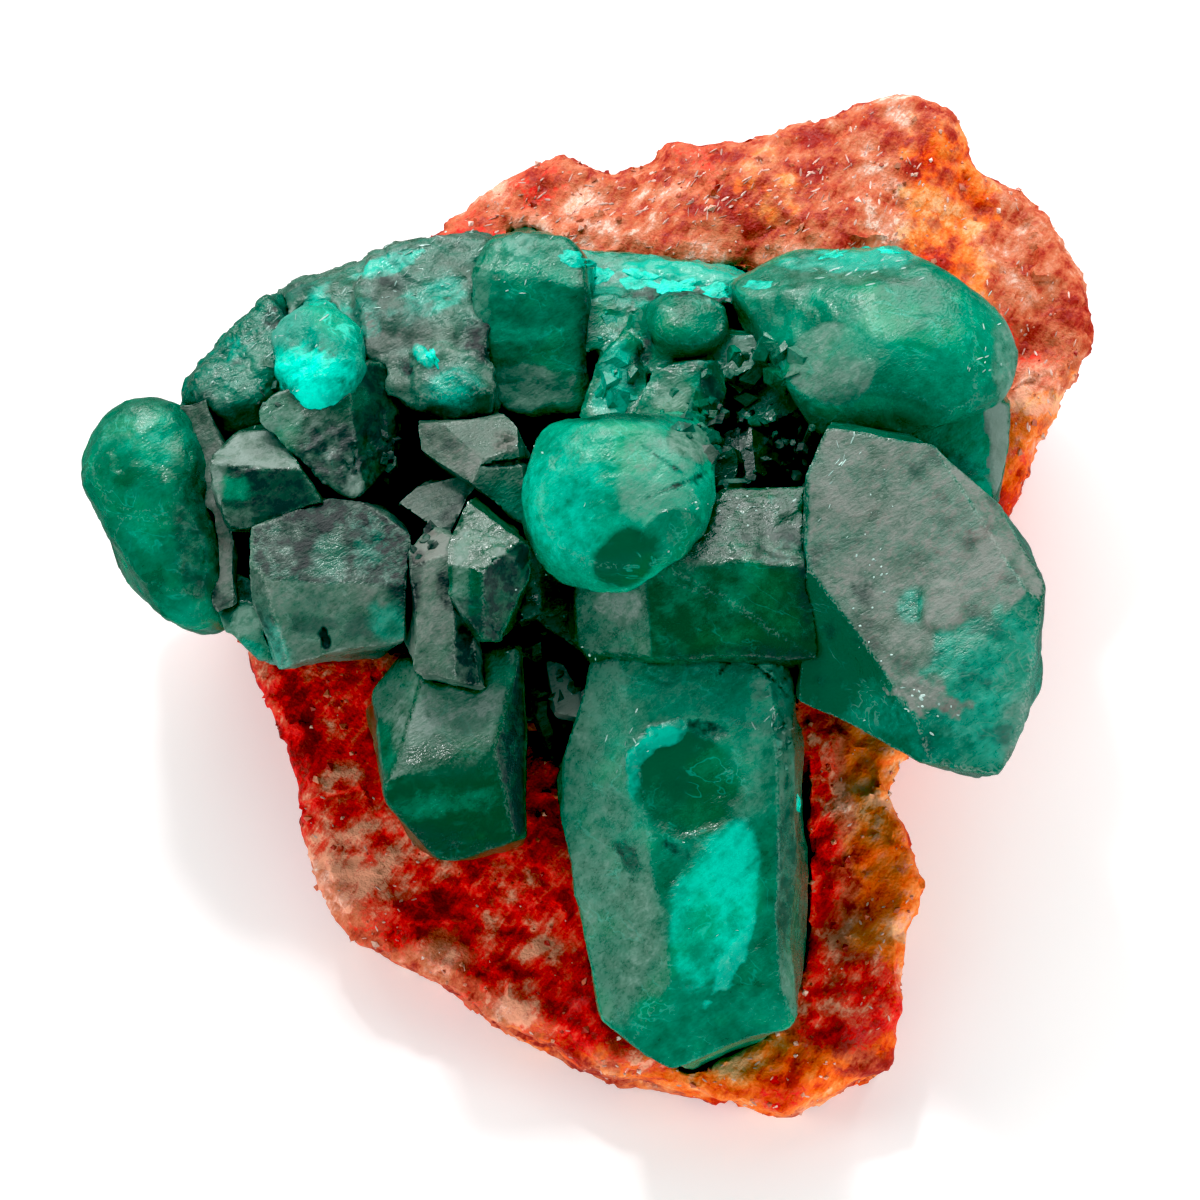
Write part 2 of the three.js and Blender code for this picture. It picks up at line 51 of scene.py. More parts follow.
faceLean = math.radians(25)  # the crystals are laid out on a face that leans this far from level
leanCos, leanSin = math.cos(faceLean), math.sin(faceLean)

print("frame loaded:", len(nodes), "nodes")


# on the showing face x runs to the right, v up it and d straight out of it, all in mm
def toFace(points):
    y, z = points[:, 1], points[:, 2]
    return np.stack([points[:, 0], y * leanCos + z * leanSin, z * leanCos - y * leanSin], 1)


def fromFace(points):
    v, d = points[:, 1], points[:, 2]
    return np.stack([points[:, 0], v * leanCos - d * leanSin, v * leanSin + d * leanCos], 1)


def readAll(items, key, width, kind=np.float32):
    flat = np.empty(len(items) * width, kind)
    items.foreach_get(key, flat)
    return flat.reshape(-1, width)


def meshPoints(mesh):
    return readAll(mesh.vertices, "co", 3).astype(float)


def meshNormals(mesh):
    return readAll(mesh.vertices, "normal", 3).astype(float)


def setPoints(mesh, points):
    mesh.vertices.foreach_set("co", points.astype(np.float32).ravel())
    mesh.update()


cadPoints = {name: meshPoints(node.data) / mm for name, node in nodes.items()}
allFace = toFace(np.concatenate(list(cadPoints.values())))
faceLow, faceHigh = allFace.min(0), allFace.max(0)


# a place on the showing face, from shares of its width and height
def onFace(right, up):
    return (
        faceLow[0] + right * (faceHigh[0] - faceLow[0]),
        faceLow[1] + up * (faceHigh[1] - faceLow[1]),
    )


cameraSetup = {
    "lens": 420.0, "sensor": 36.0,
    "room": 1.2,  # width of the frame in widths of the specimen
    "clip": (0.05, 20),  # in distances to the specimen
}


def placeCamera(setup):
    data = bpy.data.cameras.new("camera")
    data.lens = setup["lens"]
    data.sensor_width = setup["sensor"]
    camera = bpy.data.objects.new("camera", data)
    bpy.context.scene.collection.objects.link(camera)
    out, up = Vector((0, -leanSin, leanCos)), Vector((0, leanCos, leanSin))
    width = (faceHigh[0] - faceLow[0]) * mm * setup["room"]
    distance = width * setup["lens"] / setup["sensor"]
    middle = (faceLow + faceHigh) / 2 * mm
    aim = Vector((middle[0], 0, 0)) + up * middle[1] + out * middle[2]
    camera.location = aim + out * distance
    camera.rotation_mode = "QUATERNION"
    camera.rotation_quaternion = (-out).to_track_quat("-Z", "Y")
    data.clip_start, data.clip_end = (distance * share for share in setup["clip"])
    bpy.context.scene.camera = camera


placeCamera(cameraSetup)
print("camera placed")


# the noises below work on whole arrays of points. Big odd numbers scatter the cells they fall in
scatter = {
    "axes": (73856093, 19349663, 83492791), "seed": 2654435, "mix": ((13, 1274126177), (15, 668265263)),
}
hashTop, hashMask = 0xFFFFF, 0x7FFFFFFF


# a whole number from 0 to hashTop for each cell
def hashCells(cells, seed):
    a, b, c = scatter["axes"]
    h = cells[:, 0] * a ^ cells[:, 1] * b ^ cells[:, 2] * c
    h = (h + seed * scatter["seed"]) & hashMask
    for shift, factor in scatter["mix"]:
        h = (h ^ (h >> shift)) * factor & hashMask
    return (h ^ (h >> 16)) & hashTop


# smooth noise from about -1 to 1
def softNoise(points, size, seed=0):
    p = points / size
    cell = np.floor(p).astype(np.int64)
    f = p - cell
    f = f * f * (3 - 2 * f)
    total = np.zeros(len(p))
    for corner in range(8):
        step = np.array([corner & 1, corner >> 1 & 1, corner >> 2 & 1])
        value = hashCells(cell + step, seed) / (hashTop // 2) - 1
        total += value * np.prod(np.where(step, f, 1 - f), axis=1)
    return total


def layeredNoise(points, size, seed=0, layers=3):
    total = np.zeros(len(points))
    for k in range(layers):
        total += softNoise(points, size / 2**k, seed + 7 * k) / 2**k
    return total / 1.6  # brings the layers back to about -1 to 1


# three noises side by side, which push points or directions about
def threeNoises(noise, points, size, seed):
    return np.stack([noise(points, size, seed + k) for k in range(3)], 1)


# distance to the nearest of many scattered points as a share of their spacing, that point's own tone,
# and the height of a plane that tilts its own way in each cell
def grainNoise(points, size, seed=0):
    p = points / size
    cell = np.floor(p).astype(np.int64)
    best = np.full(len(p), 9.0)
    tone, tilt = np.zeros(len(p)), np.zeros(len(p))
    for i in (-1, 0, 1):
        for j in (-1, 0, 1):
            for k in (-1, 0, 1):
                other = cell + np.array([i, j, k])
                jitter = np.stack([hashCells(other, seed + n) / hashTop for n in range(3)], 1)
                lean = np.stack([hashCells(other, seed + n) / hashTop - 0.5 for n in (7, 8, 9)], 1)
                reach = p - other - jitter
                gap = np.linalg.norm(reach, axis=1)
                near = gap < best
                best = np.where(near, gap, best)
                tone = np.where(near, hashCells(other, seed + 5) / hashTop, tone)
                tilt = np.where(near, np.einsum("ij,ij->i", reach, lean), tilt)
    return best, tone, tilt


def smoothStep(value, low, high):
    t = np.clip((value - low) / (high - low), 0, 1)
    return t * t * (3 - 2 * t)


# a new mesh made from one by a modifier, in the place of the old one
def modified(mesh, name, kind, **settings):
    source = bpy.data.objects.new(name + "Source", mesh)
    bpy.context.scene.collection.objects.link(source)
    modifier = source.modifiers.new(kind, kind)
    for key, value in settings.items():
        setattr(modifier, key, value)
    graph = bpy.context.evaluated_depsgraph_get()
    made = bpy.data.meshes.new_from_object(source.evaluated_get(graph), depsgraph=graph)
    bpy.data.objects.remove(source)
    bpy.data.meshes.remove(mesh)
    made.name = name
    return made


# a dense closed mesh over a coarse one, all in mm
def remeshed(name, points, faces, voxel):
    mesh = bpy.data.meshes.new(name)
    mesh.from_pydata(points.tolist(), [], faces)
    return modified(mesh, name, "REMESH", mode="VOXEL", voxel_size=voxel, use_smooth_shade=True)


# the same shape with fewer faces where it is flat
def cutDown(mesh, name, share):
    return modified(mesh, name, "DECIMATE", ratio=share)


# a node's points in mm and its faces, with corners that fall on one another made one
def welded(name):
    mesh = nodes[name].data
    places, which = np.unique(np.round(meshPoints(mesh) / mm, 3), axis=0, return_inverse=True)
    which = which.ravel()
    faces = [[int(which[k]) for k in p.vertices] for p in mesh.polygons]
    return places, [face for face in faces if len(set(face)) == len(face)]


def edgePairs(mesh):
    return readAll(mesh.edges, "vertices", 2, np.int32)


# each point drawn halfway to the middle of its neighbours
def relaxed(points, edges, passes, weight=None):
    a, b = edges[:, 0], edges[:, 1]
    count = np.bincount(edges.ravel(), minlength=len(points))[:, None].clip(1)
    for _ in range(passes):
        total = np.stack([
            np.bincount(a, points[b, k], len(points)) + np.bincount(b, points[a, k], len(points))
            for k in range(points.shape[1])
        ], 1)
        move = (total / count - points) / 2
        points = points + (move if weight is None else move * weight[:, None])
    return points


# a coarse mesh with each of its faces moved out by the same amount
def grown(points, faces, amount):
    mesh = bpy.data.meshes.new("grown")
    mesh.from_pydata(points.tolist(), [], faces)
    around = [[] for _ in points]
    for polygon in mesh.polygons:
        for corner in polygon.vertices:
            around[corner].append(np.array(polygon.normal))
    bpy.data.meshes.remove(mesh)
    moved = points.copy()
    for k, normals in enumerate(around):
        if normals:
            n = np.array(normals)
            step = np.linalg.solve(n.T @ n + np.eye(3) * 0.02, n.T @ np.full(len(n), amount))
            moved[k] += step * min(1, 2.5 * amount / (np.linalg.norm(step) + 1e-9))  # no long spikes
    return moved


# an edge of a coarse mesh is sharp if it bends by more than "bend" degrees, and can chip if it stands out by
# more than "outer". "perVoxel" places to the voxel are marked along it, and the dense points within "reach"
# voxels of them are pulled onto it
edgeSettings = {"bend": 18, "outer": 32, "reach": 0.62, "perVoxel": 4}


# points spaced along the sharp edges of a coarse mesh, and whether each edge can chip
def edgeSamples(points, faces, spacing):
    work = bmesh.new()
    corners = [work.verts.new(p) for p in points]
    for face in faces:
        work.faces.new([corners[k] for k in face])
    work.normal_update()
    samples, strong = [], []
    for edge in work.edges:
        bend = edge.calc_face_angle_signed(0) if len(edge.link_faces) == 2 else 0
        if abs(bend) > math.radians(edgeSettings["bend"]):
            a, b = (np.array(v.co) for v in edge.verts)
            count = max(2, int(np.linalg.norm(b - a) / spacing))
            samples.append(a + np.linspace(0, 1, count)[:, None] * (b - a))
            strong += [bend > math.radians(edgeSettings["outer"])] * count
    work.free()
    return np.concatenate(samples), strong


# points of a dense mesh pulled onto the sharp edges and flat faces of the coarse one
def crisped(dense, points, coarse, faces, voxel):
    samples, strong = edgeSamples(coarse, faces, voxel / edgeSettings["perVoxel"])
    near = KDTree(len(samples))
    for k, sample in enumerate(samples):
        near.insert(sample, k)
    near.balance()
    surface = BVHTree.FromPolygons(coarse.tolist(), faces)
    moved, onEdge, outer = points.copy(), np.zeros(len(points), bool), np.zeros(len(points), bool)
    for k, point in enumerate(points):
        place, which, gap = near.find(point)
        if gap < voxel * edgeSettings["reach"]:
            moved[k], onEdge[k], outer[k] = place, True, strong[which]
    moved = relaxed(moved, edgePairs(dense), 2, ~onEdge)
    for k in np.flatnonzero(~onEdge):
        moved[k] = surface.find_nearest(moved[k])[0]
    return moved, outer


# four numbers for each point, which the materials read
def setMask(mesh, values):
    made = mesh.attributes.new("mask", "FLOAT_COLOR", "POINT")
    made.data.foreach_set("color", values.astype(np.float32).ravel())


def finishPiece(mesh, name, material, replaced=None, crease=None):
    for p in mesh.polygons:
        p.use_smooth = True
    if crease:
        mesh.set_sharp_from_angle(angle=math.radians(crease))
    mesh.materials.clear()
    mesh.materials.append(material)
    piece = bpy.data.objects.new(name, mesh)
    bpy.context.scene.collection.objects.link(piece)
    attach(piece, "root")
    if replaced:
        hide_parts(replaced)
    return piece


def newMaterial(name):
    material = bpy.data.materials.new(name)
    material.use_nodes = True
    tree = material.node_tree
    tree.nodes.clear()
    return material, tree


def addNode(tree, kind, inputs=None, **settings):
    node = tree.nodes.new(kind)
    for key, value in settings.items():
        setattr(node, key, value)
    for key, value in (inputs or {}).items():
        if isinstance(value, bpy.types.NodeSocket):
            tree.links.new(value, node.inputs[key])
        else:
            node.inputs[key].default_value = value
    return node


# a shader with plain numbers and colours on its own sockets, and what the nodes give it
def addShader(tree, plain, linked):
    shader = addNode(tree, "ShaderNodeBsdfPrincipled", linked)
    for key, value in plain.items():
        shader.inputs[key].default_value = value
    out = addNode(tree, "ShaderNodeOutputMaterial")
    tree.links.new(shader.outputs[0], out.inputs["Surface"])
    return shader, out


def mixColours(tree, share, first, second):
    node = addNode(tree, "ShaderNodeMix", data_type="RGBA")
    for index, value in ((0, share), (6, first), (7, second)):
        if isinstance(value, bpy.types.NodeSocket):
            tree.links.new(value, node.inputs[index])
        elif index:
            node.inputs[index].default_value = (*value, 1)
        else:
            node.inputs[index].default_value = value
    return node.outputs[2]


# one sum of sockets and plain numbers
def sums(tree, kind, a, b=0.0, c=0.0, clamp=False):
    node = tree.nodes.new("ShaderNodeMath")
    node.operation = kind
    node.use_clamp = clamp
    for index, value in enumerate((a, b, c)):
        if isinstance(value, bpy.types.NodeSocket):
            tree.links.new(value, node.inputs[index])
        else:
            node.inputs[index].default_value = value
    return node.outputs[0]


# low to high drawn out, smoothly, to two other numbers
def stretch(tree, value, low, high, toLow=0.0, toHigh=1.0):
    node = addNode(tree, "ShaderNodeMapRange", interpolation_type="SMOOTHSTEP")
    for index, number in ((1, low), (2, high), (3, toLow), (4, toHigh)):
        node.inputs[index].default_value = number
    tree.links.new(value, node.inputs[0])
    return node.outputs[0]


def noiseAt(tree, place, size, detail=3.0, rough=0.55, twist=0.0):
    inputs = {"Vector": place, "Scale": 1 / size, "Detail": detail, "Roughness": rough, "Distortion": twist}
    return addNode(tree, "ShaderNodeTexNoise", inputs).outputs[0]


# object coordinates in mm, drawn out along an axis where its grain is more than one
def placeInMm(tree, grain=(1, 1, 1), turn=(0, 0, 0)):
    coords = addNode(tree, "ShaderNodeTexCoord")
    mapping = addNode(tree, "ShaderNodeMapping", {"Vector": coords.outputs["Object"]}, vector_type="TEXTURE")
    mapping.inputs["Scale"].default_value = [g * mm for g in grain]
    mapping.inputs["Rotation"].default_value = [math.radians(t) for t in turn]
    return mapping.outputs[0]


def readMask(tree):
    attribute = addNode(tree, "ShaderNodeAttribute", attribute_name="mask")
    parts = addNode(tree, "ShaderNodeSeparateColor", {"Color": attribute.outputs["Color"]})
    return [*parts.outputs[:3], attribute.outputs["Alpha"]]


# a colour ramp from (place, colour) pairs
def rampOf(tree, value, stops):
    node = addNode(tree, "ShaderNodeValToRGB", {"Fac": value})
    ramp = node.color_ramp
    while len(ramp.elements) < len(stops):
        ramp.elements.new(0.5)
    for element, (place, colour) in zip(ramp.elements, stops):
        element.position = place
        element.color = (*colour, 1)
    return node.outputs[0]


# a noise made to swing up and down from nothing, by as much as its share
def spread(tree, noise, share):
    return sums(tree, "MULTIPLY", sums(tree, "SUBTRACT", noise, 0.5), share)


# mask: film and sheen, cloud, gem and glow, and painted shade. The body is green glass that absorbs, clouded
# where cloud is high
def dioptaseMaterial(name, look):
    material, tree = newMaterial(name)
    film, cloud, gem, dark = readMask(tree)
    worn = addNode(tree, "ShaderNodeAttribute", attribute_name="wear").outputs["Fac"]
    place = placeInMm(tree)
    broad = noiseAt(tree, place, 2.4, 2)
    deepPlace = placeInMm(tree, (1, 1, 1.4), (10, 35, 0))
    hollow = noiseAt(tree, deepPlace, 1.5, 3, 0.6)
    mottle = noiseAt(tree, place, 0.5, 3, 0.65)
    speck = noiseAt(tree, place, 0.1, 1)
    felt = noiseAt(tree, placeInMm(tree, (1.8, 1, 1.2), (0, -13, 32)), 0.11, 2, 0.65)
    streak = noiseAt(tree, placeInMm(tree, (6, 1, 1), (0, -13, look["grain"])), 0.3, 3, 0.7)
    veil = noiseAt(tree, placeInMm(tree, (1.8, 1, 1), (25, 0, -24)), 1.3, 3, 0.65, 0.5)

    # milky where it is cloudy, brighter turquoise where it is gem, in places a painted glow of light inside
    # the crystal, with moss and pale threads inside
    cloudy = cloud
    for noise, share in ((broad, 1.5), (hollow, 1.1), (mottle, 0.9), (felt, 0.5), (streak, look["streak"])):
        cloudy = sums(tree, "ADD", cloudy, spread(tree, noise, share * look["change"]))
    cloudy = sums(tree, "ADD", cloudy, 0.0, clamp=True)
    body = mixColours(tree, cloudy, look["deep"], look["cloud"])
    moss = stretch(tree, broad, 0.5, 0.66, 0, look["mossy"])
    body = mixColours(tree, moss, body, look["moss"])
    gemAndGlowAmount = sums(tree, "ADD", gem, spread(tree, mottle, 1.6))
    gemAndGlowAmount = sums(tree, "ADD", gemAndGlowAmount, spread(tree, streak, 1.2), clamp=True)
    gemAndGlowAmount = sums(tree, "MULTIPLY", gemAndGlowAmount, stretch(tree, gem, 0.02, 0.3))
    body = mixColours(tree, gemAndGlowAmount, body, look["gem"])
    thread = stretch(tree, sums(tree, "ABSOLUTE", sums(tree, "SUBTRACT", veil, 0.5)), 0.002, 0.018, 1, 0)
    thread = sums(tree, "MULTIPLY", thread, stretch(tree, broad, 0.46, 0.6, 0, look["veil"]))
    body = mixColours(tree, thread, body, look["thread"])

    # a grey film that wears through in patches, and on faces turned to the lamps also a painted sheen; then
    # painted shade with random dark hollows, and pale worn edges that are partly painted glints
    filmAndSheenAmount = sums(tree, "MULTIPLY", film, stretch(tree, mottle, 0.3, 0.7, 0.65, 1.25))
    filmAndSheenAmount = sums(tree, "MULTIPLY", filmAndSheenAmount, stretch(tree, hollow, 0.34, 0.64, 1.2, 0.8))
    filmAndSheenAmount = sums(tree, "MULTIPLY", filmAndSheenAmount, stretch(tree, streak, 0.34, 0.66, 0.8, 1.2))
    filmAndSheenAmount = sums(tree, "MULTIPLY", filmAndSheenAmount, stretch(tree, felt, 0.28, 0.72, 0.75, 1.25), clamp=True)
    filmAndSheenColour = mixColours(tree, stretch(tree, hollow, 0.42, 0.64, 0, look["earthy"]), look["film"], look["earth"])
    body = mixColours(tree, filmAndSheenAmount, body, filmAndSheenColour)
    # painted shade: near black on faces turned away from the light, in cracks and where crystals meet
    shade = sums(tree, "MULTIPLY", dark, stretch(tree, mottle, 0.38, 0.6, 1.3, 0.6))
    shade = sums(tree, "ADD", shade, stretch(tree, hollow, 0.54, 0.7, 0, look["hollow"]), clamp=True)
    body = mixColours(tree, shade, body, look["dark"])
    # pale worn edges, partly wear and partly a painted glint along the edge
    chippedAndGlinting = sums(tree, "MULTIPLY", worn, stretch(tree, speck, 0.45, 0.6, 0, look["worn"]))
    body = mixColours(tree, chippedAndGlinting, body, look["wear"])

    dull = sums(tree, "MAXIMUM", filmAndSheenAmount, sums(tree, "MULTIPLY", cloudy, 0.4))
    dull = sums(tree, "MAXIMUM", dull, sums(tree, "MULTIPLY", shade, 0.8))
    dull = sums(tree, "ADD", dull, spread(tree, felt, 0.5))
    rough = stretch(tree, dull, 0, 0.7, *look["rough"])
    bump = addNode(tree, "ShaderNodeBump", {"Strength": look["bump"], "Distance": 0.11 * mm, "Height": felt})
    plain = {"IOR": 1.65, "Specular IOR Level": look["gloss"]}
    linked = {"Base Color": body, "Roughness": rough, "Normal": bump.outputs[0]}
    shader, out = addShader(tree, plain, linked)
    if look["clear"]:  # see-through where it is neither cloudy nor coated
        clear = sums(tree, "SUBTRACT", 1.0, sums(tree, "MAXIMUM", cloudy, filmAndSheenAmount), clamp=True)
        tree.links.new(sums(tree, "MULTIPLY", clear, look["clear"]), shader.inputs["Transmission Weight"])
        absorb = addNode(tree, "ShaderNodeVolumeAbsorption")
        absorb.inputs["Color"].default_value = (*look["inside"], 1)
        absorb.inputs["Density"].default_value = look["density"]
        tree.links.new(absorb.outputs[0], out.inputs["Volume"])
    return material


# colours for deep, cloudy, gem and glow, film and sheen, painted shade and so on, how much there is of each,
# and how glossy and clear it is
dioptaseLooks = {
    "deep_dioptase": {
        "deep": (0.0004, 0.09, 0.028), "cloud": (0.001, 0.32, 0.17), "gem": (0.003, 0.52, 0.37),
        "film": (0.175, 0.245, 0.21), "earth": (0.13, 0.19, 0.15), "earthy": 0.5,
        "dark": (0.005, 0.009, 0.007), "hollow": 0.2, "moss": (0.003, 0.14, 0.025), "mossy": 0.4,
        "thread": (0.03, 0.36, 0.24), "veil": 0.5, "wear": (0.25, 0.4, 0.33), "worn": 0.35,
        "grain": 30, "streak": 0.3, "change": 0.9, "gloss": 0.32, "rough": (0.14, 0.5), "bump": 0.35,
        "clear": 0.5, "inside": (0.03, 0.75, 0.4), "density": 380,
    },
    "teal_dioptase": {
        "deep": (0.0004, 0.13, 0.055), "cloud": (0.001, 0.4, 0.24), "gem": (0.004, 0.6, 0.42),
        "film": (0.15, 0.27, 0.21), "earth": (0.08, 0.22, 0.15), "earthy": 0.5,
        "dark": (0.002, 0.02, 0.009), "hollow": 0.12, "moss": (0.003, 0.24, 0.05), "mossy": 0.3,
        "thread": (0.05, 0.56, 0.4), "veil": 0.5, "wear": (0.2, 0.5, 0.4), "worn": 0.3,
        "grain": 40, "streak": 0.5, "change": 0.65, "gloss": 0.28, "rough": (0.16, 0.45), "bump": 0.35,
        "clear": 0.45, "inside": (0.03, 0.82, 0.5), "density": 320,
    },
    "grey_dioptase": {
        "deep": (0.0008, 0.075, 0.036), "cloud": (0.002, 0.26, 0.17), "gem": (0.003, 0.52, 0.38),
        "film": (0.18, 0.2, 0.175), "earth": (0.14, 0.122, 0.104), "earthy": 0.75,
        "dark": (0.014, 0.01, 0.011), "hollow": 0.5, "moss": (0.02, 0.1, 0.04), "mossy": 0.3,
        "thread": (0.14, 0.3, 0.24), "veil": 0.4, "wear": (0.34, 0.4, 0.35), "worn": 0.4,
        "grain": 32, "streak": 1.0, "change": 1.0, "gloss": 0.35, "rough": (0.14, 0.6), "bump": 0.5,
        "clear": 0,
    },
    "turquoise_dioptase": {
        "deep": (0.001, 0.17, 0.11), "cloud": (0.002, 0.4, 0.27), "gem": (0.008, 0.82, 0.62),
        "film": (0.08, 0.32, 0.25), "earth": (0.02, 0.26, 0.17), "earthy": 0.5,
        "dark": (0.001, 0.06, 0.045), "hollow": 0.4, "moss": (0.002, 0.3, 0.15), "mossy": 0.5,
        "thread": (0.05, 0.75, 0.56), "veil": 0.6, "wear": (0.08, 0.66, 0.5), "worn": 0.3,
        "grain": 35, "streak": 1.4, "change": 1.0, "gloss": 0.22, "rough": (0.16, 0.5), "bump": 0.6,
        "clear": 0,
    },
}
dioptase = {name: dioptaseMaterial(name, look) for name, look in dioptaseLooks.items()}


# mask: crimson, orange, pale and gap shade, where the gap shade is painted shade on the rock in the gaps
# between the crystals
def rockMaterial(name, look):
    material, tree = newMaterial(name)
    crimson, orange, pale, bed = readMask(tree)
    place = placeInMm(tree)
    warp = addNode(tree, "ShaderNodeTexNoise", {"Vector": place, "Scale": 1.6, "Detail": 2.0})
    pushed = {0: warp.outputs["Color"], 1: (0.9, 0.9, 0.9), 2: place}
    wavy = addNode(tree, "ShaderNodeVectorMath", pushed, operation="MULTIPLY_ADD").outputs[0]
    cells = []
    for size in look["cells"]:
        cell = addNode(tree, "ShaderNodeTexVoronoi", {"Vector": wavy, "Scale": 1 / size})
        cells.append(addNode(tree, "ShaderNodeSeparateColor", {"Color": cell.outputs["Color"]}).outputs[0])
    broad = noiseAt(tree, place, 3.2, 2, 0.6)
    dusty = noiseAt(tree, placeInMm(tree, (1, 1, 1), (40, 20, 60)), 2.2, 2)
    mottle = noiseAt(tree, place, 0.8, 3, 0.6)
    speck = noiseAt(tree, place, 0.13, 2)
    streak = noiseAt(tree, placeInMm(tree, (6, 1, 1), (0, -20, 50)), 0.28, 3, 0.65)

    tone = sums(tree, "ADD", spread(tree, broad, 2.0), 0.5)
    for noise, share in ((cells[0], 0.16), (cells[1], 0.16), (mottle, 1.0), (speck, 0.35), (streak, 1.0)):
        tone = sums(tree, "ADD", tone, spread(tree, noise, share))
    light = sums(tree, "MULTIPLY_ADD", pale, 0.25, tone)
    body = rampOf(tree, light, look["salmon"])
    glassy = stretch(tree, sums(tree, "ADD", pale, spread(tree, dusty, 3.0)), 0.9, 1.3, 0, 0.45)
    body = mixColours(tree, glassy, body, look["dust"])
    warm = stretch(tree, sums(tree, "ADD", orange, spread(tree, mottle, 1.6)), 0.3, 0.7)
    body = mixColours(tree, warm, body, rampOf(tree, light, look["orange"]))
    red = sums(tree, "ADD", crimson, spread(tree, mottle, 1.4))
    for noise, share in ((cells[0], 0.3), (cells[1], 0.25), (streak, 0.8)):
        red = sums(tree, "ADD", red, spread(tree, noise, share))
    body = mixColours(tree, stretch(tree, red, 0.32, 0.7), body, rampOf(tree, light, look["crimson"]))
    # painted shade: the rock turns near black in the gaps between crystals
    low = sums(tree, "ADD", bed, spread(tree, mottle, 0.9))
    body = mixColours(tree, stretch(tree, low, 0.35, 0.65), body, look["bed"])

    bump = addNode(tree, "ShaderNodeBump", {"Strength": 0.6, "Distance": 0.12 * mm, "Height": speck})
    rough = stretch(tree, cells[1], 0.0, 1.0, 0.38, 0.85)
    linked = {"Base Color": body, "Roughness": rough, "Normal": bump.outputs[0]}
    addShader(tree, {"Specular IOR Level": look["gloss"]}, linked)
    return material


# ramps from shade to light for each kind of rock
rockLook = {
    "cells": (0.6, 0.22),  # sizes of the grains in mm
    "salmon": [(0.1, (0.34, 0.012, 0.008)), (0.3, (0.5, 0.06, 0.026)), (0.48, (0.6, 0.13, 0.055)),
               (0.66, (0.66, 0.2, 0.1)), (0.84, (0.74, 0.32, 0.22)), (0.96, (0.9, 0.62, 0.5))],
    "orange": [(0.1, (0.6, 0.02, 0.003)), (0.3, (0.82, 0.09, 0.006)), (0.5, (0.9, 0.165, 0.02)),
               (0.68, (0.93, 0.25, 0.05)), (0.94, (0.95, 0.47, 0.22))],
    "crimson": [(0.12, (0.22, 0.0004, 0.002)), (0.3, (0.52, 0.001, 0.004)), (0.5, (0.78, 0.006, 0.009)),
                (0.7, (0.76, 0.08, 0.04)), (0.94, (0.88, 0.36, 0.22))],
    # besides the dust colour, this holds the near black of the painted shade in the gaps between crystals
    "dust": (0.56, 0.2, 0.14), "bed": (0.02, 0.004, 0.005), "gloss": 0.25,
}
rock = rockMaterial("red_matrix", rockLook)
print("materials made")


# a unit vector from degrees to the right and up from straight out of the face
def looking(right, up):
    r, u = math.radians(right), math.radians(up)
    return np.array([math.sin(r) * math.cos(u), math.sin(u), math.cos(r) * math.cos(u)])


# a tree to search the surface of several (points, faces) pairs as one
def surfaceTree(pairs):
    points, faces = [], []
    for places, polygons in pairs:
        faces += [[len(points) + k for k in face] for face in polygons]
        points += places.tolist()
    return BVHTree.FromPolygons(points, faces)


crystalTrees = {name: surfaceTree([welded(name)]) for name in nodes if name != rockNode}
allCrystals = surfaceTree(welded(name) for name in crystalTrees)


eightWays = [(math.cos(k * math.pi / 4), math.sin(k * math.pi / 4)) for k in range(8)]


wallReach, wallLift = 4.0, 1.2  # how far off a wall counts and how high over the rock it is felt for, in mm


# the share of eight directions across the face in which a crystal stands close by
def walledIn(point):
    start = point + fromFace(np.array([[0, 0, wallLift]]))[0]
    walls = 0
    for c, s in eightWays:
        way = fromFace(np.array([[c, s, 0]]))[0]
        walls += allCrystals.ray_cast(start, way, wallReach)[0] is not None
    return walls / len(eightWays)


# painted shade for each rock point by how far it lies in a gap between two crystals: 1 well inside, 0 in the
# open
def gapShadeMask(points, front, reach):
    first, second = np.full(len(points), 9.0), np.full(len(points), 9.0)
    for name, tree in crystalTrees.items():
        low, high = cadPoints[name].min(0) - reach, cadPoints[name].max(0) + reach
        for k in np.flatnonzero(front & ((points > low) & (points < high)).all(1)):
            gap = tree.find_nearest(points[k], reach)[3]
            if gap is not None:
                first[k], second[k] = sorted((first[k], second[k], gap))[:2]
    bed = np.maximum(1 - smoothStep(second, reach * 0.6, reach), 1 - smoothStep(first, 0.0, 0.3))
    for k in np.flatnonzero(bed > 0.05):
        bed[k] *= smoothStep(walledIn(points[k]), 0.7, 0.95)
    return bed


